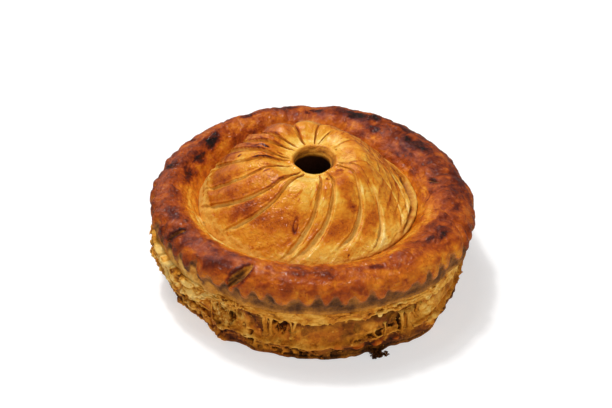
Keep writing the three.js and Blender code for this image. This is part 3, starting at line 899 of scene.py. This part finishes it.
# The wall's section: foot, crumbly band, ledge, recess, underside of the lip, lip.
WALL_STATIONS = [
    (83.6, 0), (84.6, 1.6), (83.8, 4.6), (84.4, 7.4), (86.2, 8.8), (86.2, 9.8), (84.4, 11),
    (83, 13.5), (82.6, 17), (82.6, 20.5), (83.2, 23), (85.6, 23.9), (87.6, 24.2), (88.2, 25.2),
    (88, 28), (88.3, 31.2), (87.9, BED_HEIGHT),
]
WALL_ROWS = 84
WALL_COLUMNS = 1176
LEDGE_HEIGHT = 9.3
LIP_HEIGHT = 24.2
# Where the ledge and the lip's lower edge really run, by angle.
LEDGE_TRACK = {
    -180: 10, -150: 11.5, -136: 12, -123: 12, -115: 10.4, -108: 9.3, -98: 9.5, -89: 8.4, -83: 10,
    -78: 12, -67: 11.6, -55: 11.2, -45: 9, -30: 8.5, 20: 10, 60: 9, 100: 10.5, 140: 9,
}
LIP_TRACK = {
    -180: 24, -160: 22, -145: 21, -135: 22.5, -129: 26.5, -122: 26.5, -115: 29, -109: 28,
    -104: 25.8, -97: 25, -89: 24.4, -82: 26.4, -75: 26.2, -68: 26, -60: 26, -53: 24.2, -43: 23.6,
    -25: 25, 10: 25, 40: 26.5, 70: 24.5, 100: 26.5, 130: 24.5, 155: 25.5,
}
# How far the back of the recess stands out from its usual radius, by angle.
RECESS_TRACK = {
    -180: 1.5, -150: 3.6, -136: 3.2, -131: 1.2, -125: -0.4, -119: 0.2, -114: 2.6, -109: 2.2,
    -104: -0.6, -100: -0.8, -96: 1.2, -88: 0.8, -80: 1.8, -70: 2.8, -64: 3, -60: 1.8, -57: 0.8,
    -51: 1.2, -42: 2.6, -25: 1.2, 0: 0.4, 30: 2, 60: -0.5, 90: 1.6, 120: -0.5, 150: 2,
}
# Holes torn in the wall: angle, height, half width, half height, depth.
CAVITIES = [
    (-102, 18, 3.4, 5, 2.4), (-104.6, 21.5, 1.8, 2.6, 1.8), (-126.5, 21.5, 3, 3, 2),
    (-121.5, 17.5, 3.4, 3.2, 2), (-112.5, 27, 3.8, 1.7, 2.8), (-113, 12.6, 2.2, 1, 1.6),
    (-95.4, 4.6, 3.4, 1.7, 3), (-104.5, 4.6, 2.6, 1.2, 2.4), (-113.5, 5.9, 2.4, 1.2, 2.4),
    (-67.4, 13.6, 3, 1.7, 2.8), (-63.4, 15, 2.6, 1.8, 2.8), (-60, 14.6, 1.5, 2.8, 2.8),
    (-70.6, 12.4, 2.4, 1.2, 2.2), (-55.6, 18.2, 1.2, 2.2, 2), (-57.2, 20.6, 1.2, 1, 2),
    (-66, 9.8, 3.2, 1.1, 1.8), (-62, 31.2, 5.4, 0.9, 2.4), (-69.5, 28.6, 4.4, 0.8, 1.8),
    (-61.5, 28.4, 5, 0.8, 2.2), (-54.1, 21.8, 1.9, 2.2, 2.6), (-76, 12.4, 3.4, 0.7, 1.6),
    (-46, 24.6, 3.4, 0.6, 1.6), (-139, 17, 3.6, 0.8, 1.8), (-147, 12, 4.2, 0.7, 1.8),
    (-152, 18.5, 3.6, 0.6, 1.4), (-133, 9, 3, 0.9, 1.8),
]
# Smooth brown blisters along the roll at the foot: angle, height, half width, half height.
ROLL_BLISTERS = [
    (-82.8, 9, 3.6, 1.8), (-75.6, 8.8, 4.1, 2.2), (-68.6, 7.4, 3.8, 2), (-61.5, 6.4, 1.8, 1.2),
    (-46, 6, 2.2, 1.4),
]
ROLL_TRACK = {
    -180: 6, -84: 8.8, -75: 8.4, -68: 7, -60: 5.8, -50: 5.4, -42: 6.4, -34: 7, 60: 7,
}
# Where the lip and the wall under it are torn into crumbly layers, by angle and spread.
TORN = [(-121, 7), (-56, 6), (24, 11), (74, 13), (121, 12), (-166, 6)]


def wall_swell(at, height):
    high = np.clip(height / LIP_HEIGHT, 0, 1)
    upper = 4.2 * at(-155, 22) - 2.8 * at(-10, 26)
    feet = 2.2 * at(-125.5, 4) + 4.4 * at(-50, 10) - 2.2 * at(-138, 8)
    sides = 1.6 * (at(0, 40) + at(180, 35))
    return (feet + 2.6 * at(-84, 26) - sides) * (1 - high) + upper * high


def wall_level(theta, height):
    """Moves the ledge and the lip's lower edge to where they run at each angle."""
    ledge, lip = track(LEDGE_TRACK, theta), track(LIP_TRACK, theta)
    below = height * ledge / LEDGE_HEIGHT
    recess = ledge + (height - LEDGE_HEIGHT) * (lip - ledge) / (LIP_HEIGHT - LEDGE_HEIGHT)
    above = lip + (height - LIP_HEIGHT) * (BED_HEIGHT - lip) / (BED_HEIGHT - LIP_HEIGHT)
    return np.where(height < LEDGE_HEIGHT, below, np.where(height < LIP_HEIGHT, recess, above))


def laminae(theta, count, size, seed):
    """Thin ragged layers, counted upwards by count: how far each stands out, -1 to 1, and
    how near a point is to the crevice between two."""
    layer = np.floor(count)
    place = round_coordinates(theta, layer, WALL_BAND)
    stand = noise(place, (size, 1), seed) + 0.6 * noise(place, (size / 4, 1), seed + 1)
    inside = count - layer
    return stand, fall(np.minimum(inside, 1 - inside), 0.02, 0.24)


def plates(p, size, seed):
    """Torn flat pieces: how far each stands out, -1 to 1, and how near a point is to an edge."""
    bent = warped(p, 0.22 * size[0], 0.4 * size[0], seed + 50)
    near, second, label = cells(bent, size, seed)
    return 2 * label - 1, fall(second - near, 0.02, 0.2)


def make_base(material):
    """The wall's skin. Gives back its grid of points, for the scraps that sit on it."""
    def closeness(p):
        return np.where(p[:, 1] > 24, 1.4, 1.0)
    profile = resample(curve_through(WALL_STATIONS), WALL_ROWS, closeness)
    radius, height = profile[:, :1], profile[:, 1:]
    theta = np.linspace(0, TURN, WALL_COLUMNS, endpoint=False)[None, :]
    at = partial(hump, theta)
    level = wall_level(theta, height)
    band = round_coordinates(theta, run_length(profile)[:, None], WALL_BAND)
    bent = warped(band, 2, 8, 110)
    rough = fractal(band, 3.2, 7)

    recess = ease(height, 10.4, 12.5) * fall(height, 21.5, 23.6)
    lower = ease(height, 1.2, 2.4) * fall(height, 7, 8.6)
    lip = ease(height, 24, 24.8)
    ledge = band_of(height, 8.4, 10, 1)
    left = np.clip(at(-150, 21) + at(168, 9), 0, 1)
    cream = np.clip(left + at(-132, 10) + 0.7 * at(-46, 4), 0, 1)
    torn = np.clip(sum(at(angle, spread) for angle, spread in TORN), 0, 1)
    rolled = band_of(np.degrees(between(theta, radians(-61))), -20, 22, 4)
    roll = rolled * np.exp(-((level - track(ROLL_TRACK, theta)) / 2.6) ** 4)

    # Torn plates and thin layers on the lip, the ledge and all down the left.
    big, big_edge = plates(band, (17, 6), 60)
    small, small_edge = plates(bent, (6.5, 2.6), 64)
    sag = noise(band, (16, LONG), 27) + 0.3 * noise(band, (5, LONG), 26)
    stand, crevice = laminae(theta, level / 1.6 + 1.1 * sag, 8, 40)
    upper_left = left * ease(height, 13, 20)
    layered = np.clip(0.12 + torn + 0.5 * left - 0.5 * upper_left, 0, 1)
    flaky = np.clip(lip + left + 0.5 * ledge, 0, 1)
    crevice = crevice * flaky * layered
    relief = flaky * (0.55 * big + 0.35 * small * (0.4 + layered))
    relief += 0.75 * flaky * layered * stand - 0.7 * crevice
    crumble = ridges(warped(band, 1.6, 4, 150), (4.2, 2.6), 151) - 0.55
    relief += (0.5 * flaky + 0.3 * left) * crumble
    # Crumbly hollows between thin torn walls, in the band under the ledge.
    walls = ridges(warped(band, 2.2, 5, 120), (5, 2.8), 21)
    holes = fall(walls + 0.1 * rough, 0.42, 0.66) * (1 - roll) * (1 - 0.6 * left)
    celled = lower * holes * (0.35 + 0.65 * at(-98, 14))
    footing = lower * at(-124, 9)
    relief += footing * (0.7 + 1.4 * noise(band, 5, 144)) - 1.4 * celled
    # The recess: swellings, pits with webs between them, and blisters.
    near, second, label = cells(warped(band, 2, 5, 130), (5.5, 8), 23)
    pits = ease(second - near, 0.08, 0.34) * ease(label, 0.5, 0.62)
    swell = track(RECESS_TRACK, theta) + 1.4 * fractal(bent, (13, 16), 11, 3)
    relief += recess * (swell - (0.4 + 1.8 * torn) * (1 - left) * pits)
    near, _, label = cells(band, 3.4, 31)
    blisters = ease(0.4 - near, 0, 0.22) * ease(label, 0.8, 0.84) * (recess + 0.5 * lip)
    relief += 0.8 * blisters + roll * (1.5 + 0.7 * noise(band, (7, LONG), 28))
    bulge, hollow = np.zeros((2, *relief.shape))
    for angle, middle, half_width, half_height in ROLL_BLISTERS:
        reach = reach_of(theta, angle, WALL_BAND, half_width, level - middle, half_height)
        bulge = np.maximum(bulge, fall(reach, 0.4, 1.1))
    relief += bulge + (0.6 + 0.1 * left - 0.3 * roll - 0.1 * recess) * rough
    for angle, middle, half_width, half_height, depth in CAVITIES:
        reach = reach_of(theta, angle, WALL_BAND, half_width, level - middle, half_height)
        torn_out = fall(reach + 1.2 * rough + 0.4 * small_edge, 0.45, 1.1)
        hollow = np.maximum(hollow, depth * torn_out)
    # Puffed pillows of dough with creases between them, where the wall is pale.
    near, second, _ = cells(warped(bent, 1.2, 4, 170), (8, 4.6), 171)
    pillows = cream * fall(near, 0.1, 0.75)
    creases = cream * fall(second - near, 0.03, 0.22)
    relief += 1.3 * pillows - 0.5 * creases - hollow
    relief *= ease(height, 0, 0.8) * fall(height, BED_HEIGHT - 0.8, BED_HEIGHT)
    ragged = 0.7 * noise(band, (7, LONG), 5) + 1.1 * noise(band, (2, LONG), 6)
    drips = ease(noise(band, (3, LONG), 8), 0.4, 0.8) * 2.6
    droop = (ragged - drips) * ease(height, 21.5, 24) * fall(height, 24.6, 28.5)
    droop += 0.9 * noise(band, (5, LONG), 4) * ledge

    # How far it is baked, with painted light and shade on the relief, how bare, and painted shade
    # in the hollows.
    proud = np.clip(relief - blurred(relief, 8), -0.8, 0.8)
    shaded = ease(height, 16, 23.4) * fall(height, 23.8, 24.6) * (1 - 0.8 * cream)
    opened = ease(hollow, 0.5, 1.8)
    # Raised parts painted lighter and sunken ones darker: painted light and shade.
    bake_and_shade = 0.46 + 0.2 * rough - 0.07 * lip - 0.12 * at(-38, 14) - 0.22 * proud
    bake_and_shade += 0.14 * noise(bent, 9, 140) - (0.12 * flaky + 0.09 * left) * crumble - 0.05 * left
    bake_and_shade += flaky * (0.1 * big + 0.06 * small + 0.16 * big_edge) - 0.14 * ledge * at(-101, 15)
    bake_and_shade -= 0.12 * bell(height, 25.2, 1.3) * (1 - left)
    uneven = 0.14 * noise(bent, 5, 141) - 0.12 * at(-75, 9) - 0.12 * at(-112, 4)
    bake_and_shade += recess * (0.16 - 0.28 * cream + uneven) - 0.13 * upper_left
    bake_and_shade += (0.36 - 0.2 * cream) * fall(height, 0.6, 3.2) + (0.3 - 0.24 * cream) * lower
    bake_and_shade -= 0.15 * lower * (1 - holes) * (1 - roll) * ease(height, 2, 4)
    blotches = ease(noise(bent, 4.6, 143) + 0.4 * rough, 0.05, 0.35)
    bake_and_shade -= (0.05 + 0.24 * cream) * blotches * (1 - 0.7 * lower)
    bake_and_shade += 0.04 * footing + 0.1 * at(-122, 6) * fall(height, 6, 9) + 0.12 * roll
    # Painted shade under the lip and in the torn holes; the blisters are paler.
    bake_and_shade += 0.14 * shaded + 0.16 * opened - 0.24 * blisters
    # Crevices and creases painted darker and pillow tops lighter: painted shade and painted light.
    bake_and_shade = blend(bake_and_shade, 0.5 + 0.1 * rough, bulge) + 0.16 * (crevice + creases) - 0.1 * pillows
    orange = ease(noise(bent, 8, 142) + 0.5 * rough, -0.3, 0.5)
    raw = 0.95 - 0.35 * orange - 0.25 * recess * (1 - pits) - 0.2 * roll - 0.8 * bulge
    raw -= 0.4 * footing
    # Painted shade in the holes, under the lip, in crevices, pits and crumbly hollows.
    painted_shade = 0.12 * celled * (1 - 0.6 * cream) + 0.5 * (shaded + opened) + 0.35 * crevice
    painted_shade += recess * (0.15 + 0.35 * torn) * (1 - left) * pits
    painted_shade += 0.3 * left * ease(-crumble, 0.1, 0.35)

    grid = revolve(profile, theta, relief)
    wavy = 0.9 * noise(band, (8, LONG), 160) + 0.6 * noise(band, (3, LONG), 161)
    push_out(grid, theta, wall_swell(at, height) + fall(height, 2, 9) * wavy)
    grid[..., 0] += RIM_CENTRE_X
    grid[..., 2] = (grid[..., 2] + level - height + droop).clip(0, BED_HEIGHT)
    caps = [[0, 0, 0], [0, 0, BED_HEIGHT]]
    add_skin("base_flaky", grid, (bake_and_shade, raw, painted_shade), material, "base_crust", caps)
    return grid


# ------------------------------------------------------------------ strands, flakes and crumbs

# Threads of dough drawn down over the recess: angle and height at the top and at the bottom,
# and radius. Those of one web share an end.
STRANDS = [
    (-108.4, 26.4, -107.6, 13.4, 1.05), (-106.9, 26.4, -107.4, 14, 0.75),
    (-105.2, 26, -105.9, 13, 1.1), (-106.6, 22, -105.9, 14, 0.6), (-99.4, 25.4, -97.9, 15, 0.8),
    (-96.4, 25.2, -97.6, 15, 0.8), (-97.9, 17.4, -97.6, 12.2, 1), (-95.2, 24.6, -94.6, 19, 0.32),
    (-128.3, 24.2, -125.6, 14, 0.24), (-126.5, 25, -124, 13.5, 0.28),
    (-124.5, 25.4, -126.2, 17, 0.2), (-122, 25, -123.6, 12.6, 0.28),
    (-119.7, 26.4, -121.8, 13.6, 0.24), (-118.4, 26, -119, 15, 0.34),
    (-129.8, 23, -128.4, 12.4, 0.36), (-66.2, 19.5, -66, 11.6, 0.6), (-59, 22, -59.3, 10.4, 1.1),
    (-55.4, 19.6, -56.6, 11, 1.2), (-58.6, 24, -56.4, 18, 0.8), (-56, 24.6, -55.6, 18.6, 0.9),
    (-52.6, 24.4, -52, 17, 0.9), (-54, 19.4, -52.2, 13.6, 0.8), (-88, 24.4, -88.6, 21, 0.22),
    (-84.4, 25.4, -84.2, 21.4, 0.2), (-79.6, 26.4, -80, 22.6, 0.24),
]
TUBE_SIDES = 6
TUBE_STEPS = 12


class Scraps:
    """Many small closed pieces gathered into one mesh."""

    def __init__(self):
        self.points, self.faces, self.tones = [], [], []
        self.count = 0

    def add(self, points, faces, tone):
        self.points.append(points)
        self.faces += [[corner + self.count for corner in face] for face in faces]
        self.tones.append(np.broadcast_to(tone, len(points)))
        self.count += len(points)

    def finish(self, name, material):
        tones = np.concatenate(self.tones)
        fields = zip(FIELDS, (tones, np.full(len(tones), 0.85), np.zeros(len(tones))))
        add_mesh(name, np.vstack(self.points), self.faces, dict(fields), material, None)


def spot(grid, angle, level):
    """The point of the wall's skin at an angle and a height."""
    column = round(angle / 360 * grid.shape[1]) % grid.shape[1]
    ring = grid[:, column]
    return ring[np.argmin(np.abs(ring[:, 2] - level))]


def directions(angle):
    """Outward and anticlockwise unit vectors at an angle, and the upward one."""
    a = radians(angle)
    return (np.array([cos(a), sin(a), 0.0]), np.array([-sin(a), cos(a), 0.0]),
            np.array([0.0, 0.0, 1.0]))


def add_strand(scraps, grid, draw, top_angle, top, low_angle, low, thick):
    share = np.linspace(0, 1, TUBE_STEPS)[:, None]
    out, aside, _ = directions(top_angle)
    start = spot(grid, top_angle, top) - 0.3 * out
    end = spot(grid, low_angle, low) - 0.3 * out
    middle = start + (end - start) * share
    sway = draw.uniform(-0.7, 0.7) * np.sin(pi * share) * aside
    middle = middle + sway + draw.uniform(0.3, 0.9) * np.sin(pi * share) * out
    girth = thick * (0.75 + 1.6 * np.abs(2 * share - 1) ** 4 + 0.2 * np.sin(9 * share + top_angle))
    around = np.linspace(0, TURN, TUBE_SIDES, endpoint=False)[None, :, None]
    ring = np.cos(around) * aside + np.sin(around) * out
    points = middle[:, None, :] + girth[:, None, :] * ring
    faces = grid_faces(TUBE_STEPS, TUBE_SIDES, closed=False)
    faces.append(list(range(TUBE_SIDES))[::-1])
    faces.append([(TUBE_STEPS - 1) * TUBE_SIDES + k for k in range(TUBE_SIDES)])
    scraps.add(points.reshape(-1, 3), faces, 0.24 + 0.30 * share.repeat(TUBE_SIDES))


FLAKE_GRID = 5
FLAKE_THICKNESS = 0.16


def flake_faces():
    """Two grids of faces back to back and the edge between them."""
    n = FLAKE_GRID
    upper = [[r * n + c, r * n + c + 1, (r + 1) * n + c + 1, (r + 1) * n + c]
             for r in range(n - 1) for c in range(n - 1)]
    lower = [[corner + n * n for corner in face[::-1]] for face in upper]
    rim = ([c for c in range(n)] + [r * n + n - 1 for r in range(1, n)]
           + [n * n - 1 - c for c in range(1, n)] + [r * n for r in range(n - 2, 0, -1)])
    edge = [[a, a + n * n, b + n * n, b] for a, b in zip(rim, rim[1:] + rim[:1])]
    return upper + lower + edge


FLAKE_FACES = flake_faces()


def add_flake(scraps, place, angle, draw, width, length, tilt, tone):
    """A thin curled scrap at a place on the wall; tilt lifts its upper edge outwards."""
    out, aside, up = directions(angle)
    tilt, roll = radians(tilt), radians(draw.uniform(-40, 40))
    rise = cos(tilt) * up + sin(tilt) * out
    face = cos(tilt) * out - sin(tilt) * up
    across = cos(roll) * aside + sin(roll) * rise
    along = -sin(roll) * aside + cos(roll) * rise
    u, v = np.meshgrid(np.linspace(-1, 1, FLAKE_GRID), np.linspace(-1, 1, FLAKE_GRID))
    u = u * (1 - 0.35 * v ** 2) + draw.uniform(-0.22, 0.22, u.shape)
    v = v * (1 - 0.25 * u ** 2) + draw.uniform(-0.18, 0.18, u.shape)
    curl = draw.uniform(-0.5, 0.9) * u ** 2 + draw.uniform(-0.3, 0.6) * v ** 2
    curl = (curl + draw.uniform(-0.12, 0.12, u.shape)) * min(width, length) * 0.6
    u, v, curl = u[..., None], v[..., None], curl[..., None]
    sheet = place + u * width * across + v * length * along + curl * face
    thin = FLAKE_THICKNESS * (1.15 - np.hypot(u, v) / 1.5) * face
    points = np.concatenate([sheet.reshape(-1, 3), (sheet - thin).reshape(-1, 3)])
    scraps.add(points, FLAKE_FACES, tone)


def make_lump():
    """A small round body: an octahedron with its edges halved once."""
    corner = [(1, 0, 0), (-1, 0, 0), (0, 1, 0), (0, -1, 0), (0, 0, 1), (0, 0, -1)]
    faces = [(0, 2, 4), (2, 1, 4), (1, 3, 4), (3, 0, 4), (2, 0, 5), (1, 2, 5), (3, 1, 5), (0, 3, 5)]
    points = [np.array(c, float) for c in corner]
    halves, finer = {}, []

    def half(a, b):
        key = (min(a, b), max(a, b))
        if key not in halves:
            middle = points[a] + points[b]
            halves[key] = len(points)
            points.append(middle / np.linalg.norm(middle))
        return halves[key]
    for a, b, c in faces:
        ab, bc, ca = half(a, b), half(b, c), half(c, a)
        finer += [[a, ab, ca], [ab, b, bc], [ca, bc, c], [ab, bc, ca]]
    return np.array(points), finer


LUMP_POINTS, LUMP_FACES = make_lump()


def add_crumb(scraps, place, draw, size, tone):
    shape = LUMP_POINTS * draw.uniform(0.6, 1.2, 3)
    points = place + size * shape * draw.uniform(0.65, 1.25, (len(LUMP_POINTS), 1))
    scraps.add(points, LUMP_FACES, tone)


def make_scraps(grid, material):
    draw = np.random.default_rng(12)
    strands = Scraps()
    for row in STRANDS:
        add_strand(strands, grid, draw, *row)
    for angle, spread in TORN:
        if -130 < angle < -50:
            continue
        for _ in range(4):
            at = angle + draw.normal(0, 0.6 * spread)
            add_strand(strands, grid, draw, at, 25.5, at + draw.uniform(-2, 2),
                       draw.uniform(10, 16), draw.uniform(0.35, 0.9))
    strands.finish("wall_strands", material)

    flakes = Scraps()
    zones = [
        # how many, lowest and highest level, tilt from and to, half width from and to, tone
        (150, 24.0, 27.0, -50, 20, 0.6, 1.6, 0.28),
        (110, 27.5, 33.0, -15, 45, 0.5, 1.5, 0.34),
        (120, 8.5, 12.5, 20, 85, 0.6, 1.7, 0.42),
        (90, 1.5, 8.0, -20, 60, 0.5, 1.4, 0.58),
        (80, 13.0, 23.0, -30, 40, 0.4, 1.1, 0.44),
    ]
    for many, low, high, tilt_low, tilt_high, small, large, tone in zones:
        for _ in range(many):
            angle, level = draw.uniform(-180, 180), draw.uniform(low, high)
            width = draw.uniform(small, large)
            add_flake(flakes, spot(grid, angle, level), angle, draw, width,
                      width * draw.uniform(0.4, 0.9), draw.uniform(tilt_low, tilt_high),
                      np.clip(draw.normal(tone, 0.10), 0.05, 0.95))
    for angle, spread in TORN + [(-150, 16)]:
        for _ in range(34):
            at, level = angle + draw.normal(0, spread), draw.uniform(14, 34)
            width = draw.uniform(0.5, 1.5)
            add_flake(flakes, spot(grid, at, level), at, draw, width,
                      width * draw.uniform(0.4, 0.8), draw.uniform(-40, 60),
                      draw.uniform(0.16, 0.46))
    flakes.finish("wall_flakes", material)

    crumbs = Scraps()
    for _ in range(420):
        angle = draw.uniform(-180, 180)
        level = draw.choice([draw.normal(10.4, 0.8), draw.normal(31.5, 1.4), draw.uniform(2, 32)])
        add_crumb(crumbs, spot(grid, angle, level), draw, draw.uniform(0.25, 0.7),
                  draw.uniform(0.2, 0.6))
    for _ in range(90):
        angle = draw.normal(-119, 3.2)
        add_crumb(crumbs, spot(grid, angle, draw.uniform(27, 32.6)), draw,
                  draw.uniform(0.3, 0.9), draw.uniform(0.22, 0.44))
    crumbs.finish("wall_crumbs", material)

    burnt = Scraps()
    draw = np.random.default_rng(4)
    for _ in range(100):
        angle, away = -68.6 + np.clip(draw.normal(0, 1.5), -3.2, 3.2), draw.uniform(0, 1)
        out, _, up = directions(angle)
        place = (85.0 + 6.0 * away) * out + draw.uniform(0.4, 4.2 - 3.0 * away) * up
        place[0] += RIM_CENTRE_X
        tone = draw.uniform(0.8, 1.0)
        add_crumb(burnt, place, draw, draw.uniform(0.4, 0.9), tone)
        add_flake(burnt, place, angle + draw.uniform(-60, 60), draw, draw.uniform(0.5, 1.3),
                  draw.uniform(0.3, 0.7), draw.uniform(-20, 100), tone)
    for points in burnt.points:
        points[:, 2] = np.maximum(points[:, 2], 0.05)
    burnt.finish("burnt_crumb", material)


# ------------------------------------------------------------------ stage

CAMERA_ELEVATION = 35.3
CAMERA_DISTANCE = 625.0
CAMERA_TARGET = (-4.5, 0.0, 37.0)
LENS = 66.0
FLOOR_HALF = 3.0


def make_camera():
    data = bpy.data.cameras.new("camera")
    data.lens = LENS
    data.sensor_width = 36.0
    data.clip_start = 0.01
    camera = add_object("camera", data)
    tilt = radians(CAMERA_ELEVATION)
    back = np.array([0.0, -cos(tilt), sin(tilt)])
    camera.location = (np.array(CAMERA_TARGET) + CAMERA_DISTANCE * back) * MM
    camera.rotation_euler = (pi / 2 - tilt, 0, 0)
    bpy.context.scene.camera = camera


def make_floor():
    n = Nodes("floor")
    tone = n.ramp(n.math("ADD", n.noise(400.0, 2), 0.5),
                  [(0.0, (0.54, 0.54, 0.54, 1)), (1.0, (0.58, 0.58, 0.58, 1))])
    material = n.finish(tone, 0.7, n.bump(n.noise(3.0, 2), 0.02, 0.1), Specular_IOR_Level=0.2,
                        Emission_Color=(1, 1, 1, 1), Emission_Strength=0.50)
    mesh = bpy.data.meshes.new("floor")
    h = FLOOR_HALF
    mesh.from_pydata([(-h, -h, 0), (h, -h, 0), (h, h, 0), (-h, h, 0)], [], [(0, 1, 2, 3)])
    mesh.materials.append(material)
    floor = add_object("floor", mesh)
    floor.visible_glossy = False


def make_light(name, place, size, watts, glossy=True):
    data = bpy.data.lights.new(name, "AREA")
    data.shape = "SQUARE"
    data.size = size
    data.energy = watts
    light = add_object(name, data)
    light.location = place
    light.rotation_euler = (-Vector(place)).to_track_quat("-Z", "Y").to_euler()
    light.visible_glossy = glossy


def make_stage():
    make_floor()
    make_light("overhead", (-0.28, 0.30, 1.10), 0.50, 6.2, glossy=False)
    make_light("spark", (-0.28, 0.30, 1.10), 0.11, 6.0)
    make_light("backdrop", (-0.70, 1.00, 0.42), 0.7, 0.7)
    make_light("front", (0.40, -1.20, 0.70), 0.9, 7.0, glossy=False)
    world = bpy.data.worlds.new("studio")
    world.use_nodes = True
    background = world.node_tree.nodes["Background"]
    background.inputs["Color"].default_value = (1, 1, 1, 1)
    background.inputs["Strength"].default_value = 0.17
    bpy.context.scene.world = world
    bpy.context.scene.view_settings.view_transform = "Standard"


make_camera()
make_stage()
make_lid(crust_material("lid_pastry", gloss=0.20, mottle=0.44, freckles=0.15, veins=0.16,
                        lumps=0.9, grit=0.46, shine=0.40))
make_rim(crust_material("rim_pastry", gloss=0.14, mottle=0.46, freckles=0.16, veins=0.03,
                        lumps=1.2, grit=0.40, shine=0.42))
base_material = crust_material("base_pastry", gloss=0.50, mottle=0.44, freckles=0.10, veins=0.14,
                               lumps=0.8, grit=0.62, shine=0.14)
make_scraps(make_base(base_material), base_material)
